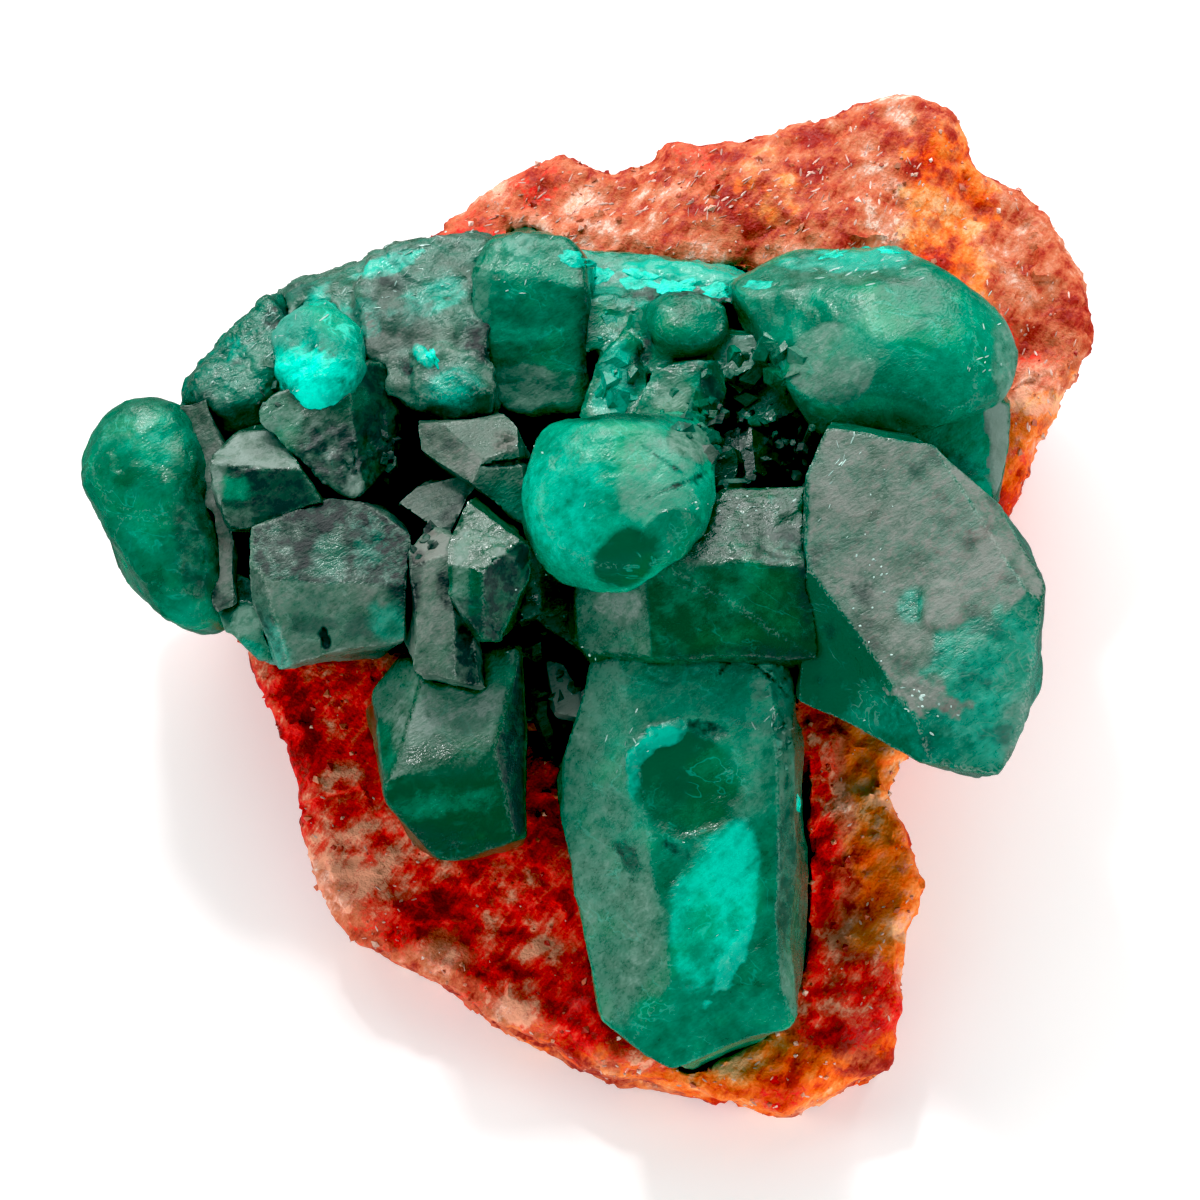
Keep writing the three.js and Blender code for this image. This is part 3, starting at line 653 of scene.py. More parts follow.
# each zone: a place and size in shares of the face, and how much of its tint it adds
rockPiece = {
    "voxel": 0.17,
    "lumps": [(3.2, 0.3), (1.5, 0.16), (0.7, 0.07)],  # size and depth in mm
    "breaks": [(1.9, 0.42), (0.85, 0.26)],  # size and depth of the small broken planes
    "wander": (0.8, 0.25),  # size and depth of the bends in those planes
    "grain": (0.5, 0.035),  # size and height of the sandy grains
    "flatFoot": 0.35,  # height in mm below which the relief fades, so that the underside stays flat
    "bed": 1.7,  # reach in mm of the painted shade in the gaps between crystals
    "keep": 0.68, "crease": 50,  # share of faces left by the last thinning, and its sharp edges in degrees
    "sides": (0.28, 0.2, -0.7),  # what the sides and the back get of crimson, orange and pale
    "sidesFade": 0.4,  # share of the front's own crimson and orange that is lost there
    "zones": {
        # crimson: red stain in the rock; under the crystals and in the strip right of the long lower crystal
        # it also stands in for their shadow, painted shade
        "crimson": [
            (0.33, 0.28, 0.16, 0.11, 1.0), (0.45, 0.16, 0.11, 0.09, 1.0), (0.2, 0.39, 0.12, 0.06, 0.9),
            (0.71, 0.26, 0.03, 0.15, 1.0), (0.74, 0.11, 0.05, 0.05, 0.9), (0.24, 0.885, 0.13, 0.03, 0.6),
            (0.9, 0.74, 0.03, 0.05, 0.5), (0.38, 0.845, 0.06, 0.025, 0.6), (0.19, 0.3, 0.05, 0.07, 0.7),
            (0.6, 0.93, 0.05, 0.04, 0.3), (0.55, 0.06, 0.05, 0.02, 0.6), (0.68, 0.02, 0.03, 0.02, 0.6),
            (0.8, 0.24, 0.05, 0.16, 0.3), (0.4, 0.9, 0.09, 0.06, 0.42), (0.92, 0.69, 0.05, 0.09, 0.45),
            (0.26, 0.18, 0.09, 0.08, 0.36),
        ],
        "orange": [
            (0.64, 0.03, 0.12, 0.05, 1.0), (0.8, 0.3, 0.05, 0.14, 1.1), (0.85, 0.88, 0.05, 0.12, 0.6),
            (0.95, 0.62, 0.06, 0.1, 0.8), (0.1, 0.86, 0.12, 0.05, 0.6), (0.79, 0.13, 0.04, 0.08, 0.9),
            (0.42, 0.07, 0.1, 0.03, 0.6), (0.66, 0.9, 0.04, 0.05, 0.4),
        ],
        # pale: paler rock; the zone right of the long lower crystal, low on the face, also lifts the shadow
        # there, painted light
        "pale": [
            (0.5, 0.88, 0.1, 0.035, 0.3), (0.36, 0.915, 0.04, 0.03, 0.25), (0.66, 0.86, 0.07, 0.03, 0.4),
            (0.78, 0.88, 0.03, 0.08, 0.35), (0.26, 0.19, 0.07, 0.07, 0.45), (0.4, 0.1, 0.07, 0.04, 0.3),
            (0.2, 0.22, 0.04, 0.06, 0.35), (0.82, 0.22, 0.05, 0.15, 0.7),
        ],
    },
}


def zoneMask(face, zones):
    total = np.zeros(len(face))
    wobble = layeredNoise(face, 2.6, 31) * 0.45
    for right, up, wide, high, amount in zones:
        x, v = onFace(right, up)
        across = (face[:, 0] - x) / (wide * (faceHigh[0] - faceLow[0]))
        along = (face[:, 1] - v) / (high * (faceHigh[1] - faceLow[1]))
        total = np.maximum(total, amount * (1 - smoothStep(np.hypot(across, along) + wobble, 0.5, 1.5)))
    return total


def makeRock(piece):
    mesh = remeshed("rock", *welded(rockNode), piece["voxel"])
    points, edges = meshPoints(mesh), edgePairs(mesh)
    points = relaxed(points, edges, 2)
    setPoints(mesh, points)
    normals = meshNormals(mesh)
    depth = np.zeros(len(points))
    for k, (size, amount) in enumerate(piece["lumps"]):
        depth += amount * softNoise(points, size, 11 + k)
    size, amount = piece["wander"]
    wavy = points + amount * threeNoises(softNoise, points, size, 60)
    for k, (size, amount) in enumerate(piece["breaks"]):
        depth += amount * grainNoise(wavy, size, 21 + 9 * k)[2]
    size, amount = piece["grain"]
    gap, tone, _ = grainNoise(points, size, 3)
    depth += amount * (1 - (gap / 0.55) ** 2).clip(-0.4, 1) * (0.3 + 1.1 * tone)
    hold = smoothStep(points[:, 2], 0.0, piece["flatFoot"])
    moved = points + normals * (depth * hold)[:, None]
    moved[:, 2] = moved[:, 2].clip(0)
    face = toFace(moved)
    # painted shade in the gaps between crystals, by how close and how walled in each front point is
    bed = gapShadeMask(points, toFace(normals)[:, 2] > -0.1, piece["bed"])
    crimson, orange, pale = (zoneMask(face, piece["zones"][kind]) for kind in ("crimson", "orange", "pale"))
    away = 1 - smoothStep(toFace(relaxed(normals, edges, 3))[:, 2], -0.15, 0.3)  # the sides and the back
    red, warm, light = piece["sides"]
    kept = 1 - piece["sidesFade"] * away
    crimson, orange = np.maximum(crimson * kept, red * away), np.maximum(orange * kept, warm * away)
    mask = np.stack([crimson, orange, pale + light * away, bed], 1)
    setPoints(mesh, moved * mm)
    setMask(mesh, mask)
    mesh = cutDown(mesh, "rock", piece["keep"])
    return finishPiece(mesh, "rock", rock, rockNode, piece["crease"])


rockObject = makeRock(rockPiece)
print("rock made:", len(rockObject.data.polygons), "faces")


# what every crystal starts from. Sizes and depths are in mm, crease is in degrees, and keep is the share
# of faces left by the last thinning. "faces" gives other tints by direction, mostly painted sheen where a
# face turns to the lamps and painted shade where it turns away, and "patches" by place
crystalDefaults = {
    "voxel": 0.12, "soften": 0, "grow": 0.18, "keep": 0.5, "crease": 26,
    "ripple": (1.3, 0.015), "steps": (1.7, 0.025), "stripes": None, "pits": 0.03, "chips": 0.08,
    "film": 0.1, "cloud": 0.1, "gem": 0.0, "dark": 0.0, "faces": [], "patches": [],
    "faceEdge": (17, 9),  # degrees from its direction at which a face's tint starts, and at which it is full
    "waver": (1.1, 0.09),  # how the edge of that tint wanders: size in mm, and amount
}
tintNames = ("film", "cloud", "gem", "dark")


# other tints where a crystal looks this many degrees right and up: painted sheen where that faces the lamps,
# painted shade where it faces away
def facet(right, up, **tint):
    return (right, up), tint


# other tints, or relief, on an oval: its place in shares of the crystal's own box, its half sizes in mm, its
# turn in degrees, how soft and how ragged its edge is, how far its grain is drawn out, how much it is raised,
# and the size and height of its roughness
def oval(right, up, wide, tall, turn=0, edge=0.2, rag=0.2, ragged=0.9, grain=1, raised=0, rough=None, **tint):
    return {
        "at": (right, up), "size": (wide, tall), "turn": math.radians(turn), "edge": edge, "rag": rag,
        "ragged": ragged, "grain": grain, "raised": raised, "rough": rough, "tint": tint,
    }


bends = [(2.6, 0.17, 40), (0.9, 0.04, 45)]  # size and depth in mm, and seed


# the same slow bends for every crystal, so that no face is quite flat and neighbours still fit together
def bent(points):
    moved = points
    for size, amount, seed in bends:
        moved = moved + amount * threeNoises(softNoise, points, size, seed)
    return moved


# how much of an oval each point has, from 0 to 1
def ovalAmount(face, patch, low, high):
    (right, up), (wide, tall), edge, drawn = patch["at"], patch["size"], patch["edge"], patch["grain"]
    c, s = math.cos(patch["turn"]), math.sin(patch["turn"])
    x = face[:, 0] - (low[0] + right * (high[0] - low[0]))
    v = face[:, 1] - (low[1] + up * (high[1] - low[1]))
    across, along = x * c + v * s, v * c - x * s
    grained = np.stack([across / drawn, along, face[:, 2] / drawn], 1)
    ragged = layeredNoise(grained, patch["ragged"], 57) * patch["rag"]
    return 1 - smoothStep(np.hypot(across / wide, along / tall) + ragged, 1 - edge, 1 + edge)


def labelFor(node):
    words = node.split("_")
    return words[0] + "".join(word.capitalize() for word in words[1:])


# relief in mm: soft ripples, shallow growth steps, fine stripes and small pits
def crystalRelief(piece, points, face):
    size, amount = piece["ripple"]
    depth = amount * layeredNoise(points, size, piece["seed"])
    size, amount = piece["steps"]
    level = layeredNoise(points, size, piece["seed"] + 3) * 3
    depth += amount * (np.floor(level) + smoothStep(level - np.floor(level), 0.4, 0.6))
    if piece["stripes"]:
        turn, size, amount = piece["stripes"]
        turn = math.radians(turn)
        across = face[:, 1] * math.cos(turn) - face[:, 0] * math.sin(turn)
        line = np.stack([across, face @ [0.05, 0.02, 0], np.zeros(len(face))], 1)
        depth += amount * softNoise(line, size, piece["seed"] + 1)
    gap, tone, _ = grainNoise(points, 0.8, piece["seed"] + 2)
    pitted = (tone > 0.75) * (1 - smoothStep(gap, 0.1, 0.34))  # one cell of four has a pit
    return depth - piece["pits"] * pitted


def makeCrystal(settings):
    piece = {**crystalDefaults, **settings}
    node = piece["node"]
    piece["seed"] = 5 * sorted(slotOf).index(node)
    label = labelFor(node)
    places, faces = welded(node)
    coarse = grown(places, faces, piece["grow"])
    mesh = remeshed(label, coarse, faces, piece["voxel"])
    points, onEdge = crisped(mesh, meshPoints(mesh), coarse, faces, piece["voxel"])
    edges = edgePairs(mesh)
    if piece["soften"]:
        points = relaxed(points, edges, piece["soften"])
    setPoints(mesh, points)
    normals = meshNormals(mesh)
    face, facing = toFace(points), toFace(relaxed(normals, edges, 2))
    facing /= np.linalg.norm(facing, axis=1)[:, None] + 1e-9
    low, high = toFace(cadPoints[node]).min(0), toFace(cadPoints[node]).max(0)

    depth = crystalRelief(piece, points, face)
    chip = smoothStep(layeredNoise(points, 0.9, piece["seed"] + 4), 0.1, 0.6)
    depth -= piece["chips"] * chip * relaxed(onEdge[:, None].astype(float), edges, 1)[:, 0]
    tints = {tint: np.full(len(points), float(piece[tint])) for tint in tintNames}
    size, amount = piece["waver"]
    wavering = facing + amount * threeNoises(layeredNoise, points, size, 70)
    wavering /= np.linalg.norm(wavering, axis=1)[:, None]
    start, full = (math.cos(math.radians(angle)) for angle in piece["faceEdge"])
    for direction, changes in piece["faces"]:
        near = smoothStep(wavering @ looking(*direction), start, full)
        for tint, value in changes.items():
            tints[tint] += (value - tints[tint]) * near
    front = smoothStep(facing[:, 2], -0.2, 0.2)
    for patch in piece["patches"]:
        amount = ovalAmount(face, patch, low, high) * front
        for tint, value in patch["tint"].items():
            tints[tint] += (value - tints[tint]) * amount
        depth += patch["raised"] * amount
        if patch["rough"]:
            size, height = patch["rough"]
            depth += height * layeredNoise(points, size, 91) * amount

    setPoints(mesh, bent(points + normals * depth[:, None]) * mm)
    setMask(mesh, np.stack([tints[tint] for tint in tintNames], 1))
    wear = mesh.attributes.new("wear", "FLOAT", "POINT")
    wear.data.foreach_set("value", onEdge.astype(np.float32))
    mesh = cutDown(mesh, label, piece["keep"])
    finishPiece(mesh, label, dioptase[slotOf[node]], node, piece["crease"])
    print(label, len(mesh.polygons), "faces")


centreRound = {
    "node": "centre_round_crystal", "soften": 120, "grow": 0.3, "crease": None, "ripple": (1.4, 0.09),
    "steps": (1.5, 0.04), "film": 0.03, "cloud": 0.72,
    "patches": [
        oval(0.42, 0.5, 2.6, 2.4, edge=0.95, rag=0.1, raised=1.0),
        oval(0.2, 0.5, 1.6, 2.2, gem=0.35, cloud=0.75, edge=0.6, rag=0.3),
        oval(0.68, 0.6, 1.35, 1.9, film=0.5, cloud=0.9, edge=0.3, rag=0.5),
        oval(0.9, 0.84, 1.1, 0.8, film=0.75, cloud=0.2, edge=0.15, rag=0.3),
        oval(0.76, 0.56, 1.6, 0.08, turn=25, dark=0.9, film=0, edge=0.5, rag=1.0, ragged=0.5, raised=-0.02),
        oval(0.74, 0.7, 1.1, 0.06, turn=-35, dark=0.8, film=0, edge=0.5, rag=0.9, ragged=0.4, raised=-0.02),
        oval(0.78, 0.31, 1.2, 0.85, turn=32, film=0.1, cloud=0.35, gem=0, edge=0.12, rag=0.15, raised=0.12),
        oval(0.53, 0.18, 1.2, 0.75, turn=32, cloud=-0.3, film=0, gem=0, edge=0.25, rag=0.3),
        oval(0.4, 1.0, 2.4, 0.45, cloud=0.1, dark=0.4, edge=0.6),
    ],
}
makeCrystal(centreRound)

rightLarge = {
    "node": "right_large_crystal", "soften": 4, "film": 0.0, "cloud": 0.15, "steps": (2.2, 0.03),
    "ripple": (1.6, 0.04),
    "faces": [
        facet(-4, 12, film=0.72, cloud=0.3), facet(-43, -17, film=0.0, cloud=-0.1),
        facet(13, -3, film=0.1, cloud=0.5), facet(33, 29, film=0.85, cloud=0.3),
    ],
    "patches": [
        oval(0.8, 0.26, 2.6, 3.0, edge=0.9, rag=0.05, raised=0.5),
        oval(0.8, 0.25, 2.2, 2.9, film=0.12, cloud=0.75, gem=0.15, edge=0.12, rag=0.5, rough=(0.6, 0.09)),
        oval(0.72, 0.6, 1.4, 2.0, turn=20, film=0.9, cloud=0.5, rag=0.5, rough=(0.4, 0.04)),
        oval(0.62, 0.46, 0.85, 0.95, film=0.95, edge=0.2, raised=0.2),
        oval(0.5, 0.46, 0.5, 0.7, gem=0.3, film=0.3, edge=0.5, rag=0.6),
        oval(0.45, 0.1, 2.2, 1.3, turn=-35, cloud=0.35, edge=0.5),
        oval(0.56, 0.205, 1.3, 0.6, turn=-20, film=0.95, rag=0.9, ragged=0.4, rough=(0.25, 0.1)),
        oval(0.3, 0.5, 0.35, 1.0, turn=30, dark=0.55, rag=1.1, ragged=0.4),
        oval(0.93, 0.1, 0.8, 1.4, film=0.5, edge=0.5, rag=0.4),
    ],
}
makeCrystal(rightLarge)

centreBlock = {
    "node": "centre_block_crystal", "soften": 5, "film": 0.0, "cloud": 0.02, "steps": (1.2, 0.03),
    "ripple": (1.1, 0.04),
    "faces": [
        facet(1, -10, film=0.0, cloud=0.02), facet(0, 40, film=0.0, cloud=0.1, dark=0.25),
        facet(-29, -10, film=0.33, cloud=0.3),
    ],
    "patches": [
        oval(0.55, 0.45, 1.9, 0.9, turn=12, cloud=0.35, edge=0.6, rag=0.5),
        oval(0.22, 0.36, 0.95, 0.75, film=0.85, edge=0.08, rag=0.12),
        oval(0.66, 0.74, 3.2, 1.6, rough=(0.4, 0.08)),
        oval(0.58, 0.64, 1.6, 0.5, turn=18, film=0.2, rag=0.8, ragged=0.5),
        oval(0.82, 0.7, 1.1, 0.7, dark=0.5, film=0.2, rag=0.7),
        oval(0.75, 0.06, 2.6, 0.5, dark=0.6, cloud=0, edge=0.6),
        oval(0.96, 0.5, 0.35, 2.2, dark=0.7, film=0, edge=0.5, rag=0.4),
    ],
}
makeCrystal(centreBlock)

stripedTop = {
    "node": "striped_top_crystal", "soften": 1, "film": 0.1, "cloud": 0.05, "chips": 0.2,
    "faces": [facet(-8, 38, film=0.3), facet(-17, -11, film=0.02, cloud=0.12), facet(37, -8, dark=0.9)],
    "patches": [
        oval(0.45, 0.82, 1.7, 1.3, rough=(0.25, 0.09)),
        oval(0.12, 0.4, 0.3, 1.6, film=0.6, cloud=0.35),
        oval(0.3, 0.15, 1.1, 0.6, dark=0.7, edge=0.5, rag=0.5),
        oval(0.75, 0.6, 0.7, 0.12, turn=-20, film=0.9, rag=0.6, ragged=0.4),
    ],
    "stripes": (-40, 0.24, 0.05),
}
makeCrystal(stripedTop)

tallThin = {
    "node": "tall_thin_crystal", "soften": 2, "film": 0.5, "cloud": 0.0, "chips": 0.2, "ripple": (0.7, 0.06),
    "faces": [facet(-18, 4, film=0.55), facet(-33, 47, film=1.3), facet(30, 7, film=0.35, dark=0.35)],
    "patches": [
        oval(0.2, 0.66, 0.4, 1.2, dark=0.95, rag=1.0, ragged=0.6),
        oval(0.6, 0.62, 0.3, 0.9, dark=0.9, rag=1.0, ragged=0.5),
        oval(0.95, 0.25, 0.7, 1.6, dark=0.85, edge=0.4, rag=0.4),
        oval(0.2, 0.05, 1.4, 0.7, dark=0.5, edge=0.5),
    ],
    "stripes": (80, 0.3, 0.04),
}
makeCrystal(tallThin)

longLower = {
    "node": "long_lower_crystal", "soften": 4, "film": 0.0, "cloud": 0.3, "steps": (1.9, 0.035),
    "chips": 0.08, "ripple": (1.4, 0.05),
    "faces": [
        facet(-34, -4, film=0.5, cloud=0.2), facet(4, 2, film=0.0, cloud=0.3),
        facet(3, -26, film=0.0, cloud=0.4), facet(64, 2, film=0.6, cloud=0.2),
        facet(85, 0, film=0.3, dark=0.3),
    ],
    "patches": [
        oval(0.45, 0.95, 3.4, 1.2, film=0.45, cloud=0.15, edge=0.3, rag=0.5),
        oval(0.26, 0.78, 1.0, 2.4, turn=8, film=0.42, cloud=0.3, edge=0.4, rag=0.4),
        # the round dark green hollow, and the bright crescent round its upper left, which is a painted
        # highlight on its rim
        oval(0.5, 0.7, 3.4, 3.6, film=0.3, cloud=0.5, edge=0.4, rag=0.3),
        oval(0.5, 0.655, 2.1, 2.0, film=0.0, cloud=0.05, gem=0.0, edge=0.12, rag=0.12, raised=-0.12),
        oval(0.56, 0.6, 1.7, 1.2, cloud=-0.15, dark=0.15, edge=0.6, rag=0.5),
        oval(0.42, 0.765, 0.75, 0.4, turn=25, gem=1.3, film=0.0, edge=0.3, rag=0.5, ragged=0.5, raised=0.14),
        oval(0.33, 0.73, 0.85, 0.3, turn=58, gem=1.0, film=0.0, edge=0.4, rag=0.5, ragged=0.5, raised=0.12),
        oval(0.29, 0.67, 0.8, 0.2, turn=88, gem=0.6, film=0.1, edge=0.5, rag=0.5, ragged=0.5, raised=0.08),
        oval(0.52, 0.785, 0.7, 0.2, turn=-5, gem=0.5, film=0.2, edge=0.5, rag=0.6, ragged=0.4),
        oval(0.6, 0.775, 0.75, 0.35, turn=-15, dark=0.75, gem=0, rag=0.5, ragged=0.4, raised=-0.08),
        # the long bright turquoise face
        oval(0.63, 0.375, 1.5, 3.2, turn=-17, film=0.0, cloud=0.7, gem=0.5, edge=0.16, rag=0.3, ragged=1.6,
             raised=0.1),
        oval(0.68, 0.46, 0.8, 1.5, turn=-17, gem=1.0, edge=0.5, rag=0.5),
        oval(0.55, 0.3, 0.8, 1.3, turn=-10, gem=0.1, cloud=0.6, edge=0.5, rag=0.5),
        oval(0.7, 0.25, 0.3, 1.5, turn=-28, gem=1.2, film=0.2, edge=0.3, rag=0.7, ragged=0.4,
             rough=(0.3, 0.08)),
        oval(0.47, 0.5, 0.5, 0.16, turn=-35, dark=0.8, rag=0.7, ragged=0.4),
        oval(0.45, 0.58, 0.8, 0.9, cloud=0.0, film=0.0, edge=0.5, rag=0.5),
        oval(0.27, 0.48, 0.35, 0.7, turn=20, film=0.0, dark=0.7, rag=0.9, ragged=0.5),
        oval(0.3, 0.32, 1.2, 1.5, film=0.55, cloud=0.1, edge=0.3, rag=0.4),
        oval(0.8, 0.93, 1.3, 0.1, turn=-40, dark=0.9, film=0.0, rag=0.9, ragged=0.4, raised=-0.08),
        oval(0.72, 0.95, 0.9, 0.08, turn=50, dark=0.9, film=0.0, rag=0.9, ragged=0.4, raised=-0.08),
        oval(0.86, 0.84, 0.8, 2.2, turn=-12, film=0.5, cloud=0.7, rag=0.6, grain=0.4, rough=(0.35, 0.1)),
        oval(0.93, 0.45, 0.45, 3.4, film=0.3, dark=0.45, edge=0.3, rag=0.7),
        oval(0.5, 0.08, 3.0, 1.9, cloud=0.35, film=0.0, edge=0.3, rag=0.3),
    ],
}
makeCrystal(longLower)

lowerLeft = {
    "node": "lower_left_crystal", "soften": 16, "crease": 40, "film": 0.0, "cloud": 0.06,
    "steps": (2.2, 0.02), "ripple": (1.5, 0.05),
    "faces": [
        facet(-6, 16, film=0.85, cloud=0.3), facet(4, -17, film=0.0, cloud=0.05),
        facet(-50, 22, film=0.6, cloud=0.3), facet(47, -2, film=0.0, dark=1.0),
    ],
    "patches": [
        oval(0.5, 0.46, 2.6, 0.7, turn=8, film=0.2, cloud=0, edge=0.8),
        oval(0.5, 0.26, 1.7, 0.5, turn=10, cloud=0.4, edge=0.7, rag=0.3),
        oval(0.5, 0.06, 2.4, 0.8, cloud=-0.2, dark=0.3, edge=0.5, rag=0.3),
        oval(0.05, 0.5, 0.8, 1.1, film=0.0, cloud=0.35, edge=0.3, rag=0.3),
        oval(0.82, 0.88, 0.7, 1.1, cloud=0.4, film=0.2, edge=0.4, rag=0.5),
        oval(0.08, 0.97, 1.5, 1.0, film=0.25, dark=0.45, edge=0.5, rag=0.5),
    ],
}
makeCrystal(lowerLeft)

leftBlock = {
    "node": "left_block_crystal", "soften": 5, "crease": 40, "film": 0.4, "cloud": 0.05, "chips": 0.2,
    "steps": (1.4, 0.04), "ripple": (0.9, 0.04),
    "faces": [
        facet(-4, 22, film=0.05, dark=0.7), facet(-5, -8, film=0.45, cloud=0.1),
        facet(-40, -13, film=0.3, dark=0.3),
    ],
    "patches": [
        oval(0.3, 0.72, 1.1, 1.3, film=0.2, dark=0.5, cloud=0, rag=0.3),
        oval(0.5, 0.66, 0.7, 1.1, film=0.18, cloud=0.25, dark=0.25, rag=0.4),
        oval(0.75, 0.72, 0.6, 1.0, dark=0.65, cloud=0.6, film=0.1, rag=0.7, ragged=0.4, rough=(0.4, 0.12)),
        oval(0.95, 0.7, 0.6, 1.9, dark=0.95, film=0, edge=0.4, rag=0.4),
        oval(0.5, 0.98, 2.4, 0.7, dark=0.8, edge=0.5, rag=0.4),
        oval(0.88, 0.3, 0.8, 0.75, cloud=0.7, gem=0.12, film=0.15, edge=0.3, rag=0.7, ragged=0.6),
        oval(0.12, 0.1, 0.5, 1.4, turn=12, gem=0.35, film=0.3, cloud=0.5, edge=0.3, rag=0.6),
        oval(0.46, 0.16, 0.17, 0.45, turn=12, dark=1.3, film=0, rag=0.15, raised=-0.2),
    ],
}
makeCrystal(leftBlock)

leftFoot = {
    "node": "left_foot_crystals", "soften": 2, "film": 0.5, "cloud": 0.15, "ripple": (0.7, 0.08),
    "chips": 0.2,
    "faces": [facet(-10, 12, film=0.3, dark=0.6), facet(-16, -10, film=0.75, cloud=0.2)],
    "patches": [oval(0.5, 0.1, 1.0, 0.6, gem=0.4, film=0.3, rag=0.6)],
}
makeCrystal(leftFoot)

smallShelf = {
    "node": "small_shelf_crystal", "soften": 2, "film": 0.2, "cloud": 0.0, "dark": 0.4, "chips": 0.16,
    "stripes": (25, 0.3, 0.05),
    "faces": [facet(-4, 42, film=1.1, dark=0), facet(-6, -10, film=0.15, dark=0.95, cloud=0)],
    "patches": [
        oval(0.18, 0.4, 0.8, 0.6, cloud=0.6, film=0.1, dark=0.15, rag=0.6),
        oval(0.02, 0.45, 0.25, 1.3, film=0.9, dark=0, rag=0.5, ragged=0.5),
        oval(0.2, 0.1, 0.9, 0.5, film=0.4, dark=0.3, cloud=0.2, rag=0.5),
    ],
}
makeCrystal(smallShelf)

leftEnd = {
    "node": "left_end_crystal", "soften": 90, "grow": 0.25, "crease": None, "film": 0.0, "cloud": 0.25,
    "ripple": (1.4, 0.12), "steps": (1.8, 0.06), "pits": 0.06,
    "patches": [
        oval(0.35, 0.74, 1.8, 1.9, edge=0.95, rag=0.05, raised=0.7),
        oval(0.5, 0.84, 1.3, 1.2, cloud=0.55, gem=0.2, film=0.1, edge=0.6, rag=0.5),
        oval(0.25, 0.9, 1.3, 0.6, turn=20, film=0.2, edge=0.5, rag=0.6),
        oval(0.78, 0.45, 0.9, 2.6, dark=0.55, film=0.3, cloud=0.1, edge=0.4, rag=0.4),
        oval(1.0, 0.55, 0.5, 3.2, dark=0.8, film=0.2, edge=0.4, rag=0.3),
        oval(0.8, 0.1, 1.1, 0.7, cloud=0.55, film=0, dark=0, edge=0.5),
        oval(0.35, 0.45, 0.8, 0.9, gem=0.15, cloud=0.45, edge=0.7, rag=0.4),
    ],
}
makeCrystal(leftEnd)

leftRib = {
    "node": "left_rib_crystal", "soften": 3, "film": 0.6, "cloud": 0.0, "ripple": (0.8, 0.1), "chips": 0.2,
    "stripes": (75, 0.5, 0.08),
    "patches": [
        oval(0.7, 0.4, 0.35, 2.6, film=0.95, rag=0.7, ragged=0.5),
        oval(0.3, 0.3, 0.4, 1.8, dark=0.7, rag=0.6),
        oval(0.5, 0.02, 1.0, 0.8, dark=0.7, rag=0.6),
    ],
}
makeCrystal(leftRib)

turquoiseDrop = {
    "node": "turquoise_drop_crystal", "soften": 60, "grow": 0.25, "crease": None, "film": 0.0, "cloud": 0.35,
    "gem": 0.2, "ripple": (0.9, 0.16), "steps": (1.0, 0.07),
    "patches": [
        oval(0.45, 0.45, 1.3, 1.6, edge=0.95, rag=0.05, raised=0.4),
        oval(0.42, 0.16, 0.9, 1.0, gem=1.3, edge=0.4, rag=0.5, ragged=0.6),
        oval(0.4, 0.48, 1.3, 0.7, gem=0.85, edge=0.5, rag=0.7, ragged=0.6),
        oval(0.6, 0.78, 1.7, 1.0, gem=0.0, cloud=0.5, edge=0.5, rag=0.6),
        oval(0.1, 0.85, 0.9, 0.9, film=0.6, gem=0, edge=0.3, rag=0.7),
        oval(0.95, 0.5, 0.5, 0.9, film=0.5, gem=0, edge=0.3, rag=0.7),
    ],
}
makeCrystal(turquoiseDrop)

darkWedge = {
    "node": "dark_wedge_crystal", "soften": 6, "crease": 40, "film": 0.25, "cloud": 0.0, "dark": 0.4,
    "chips": 0.2, "ripple": (0.8, 0.1),
    "faces": [facet(6, 10, film=0.4, dark=0.25), facet(42, 10, film=0.1, dark=0.9)],
    "patches": [
        oval(0.6, 0.3, 1.6, 1.6, dark=0.75, rag=0.6, rough=(0.26, 0.1)),
        oval(0.64, 0.75, 0.8, 0.7, turn=20, cloud=0.35, film=0.15, dark=0.25),
        oval(0.12, 0.6, 0.9, 1.0, film=0.45, cloud=0.5, dark=0, rag=0.4),
        oval(0.4, 0.95, 1.6, 0.5, dark=0.3, film=0.5, rag=0.5),
        oval(0.66, 0.08, 0.4, 0.5, film=0.9, dark=0.1, rag=0.9, ragged=0.3),
    ],
}
makeCrystal(darkWedge)

upperLeft = {
    "node": "upper_left_crystal", "soften": 36, "grow": 0.2, "film": 0.0, "cloud": 0.35, "dark": 0.1,
    "ripple": (0.9, 0.14), "steps": (1.0, 0.07), "crease": None,
    "patches": [
        oval(0.7, 0.35, 1.3, 1.5, film=0.05, cloud=0.55, edge=0.4, rag=0.7),
        oval(0.5, 0.65, 1.2, 0.8, turn=40, gem=0.25, cloud=0.45, edge=0.5, rag=0.8, grain=3),
        oval(0.2, 0.2, 0.9, 1.2, film=0.35, edge=0.4, rag=0.6),
        oval(0.9, 0.85, 0.7, 0.4, dark=0.8, rag=0.6),
        oval(0.95, 0.1, 0.5, 0.6, dark=0.7, rag=0.6),
    ],
}
makeCrystal(upperLeft)

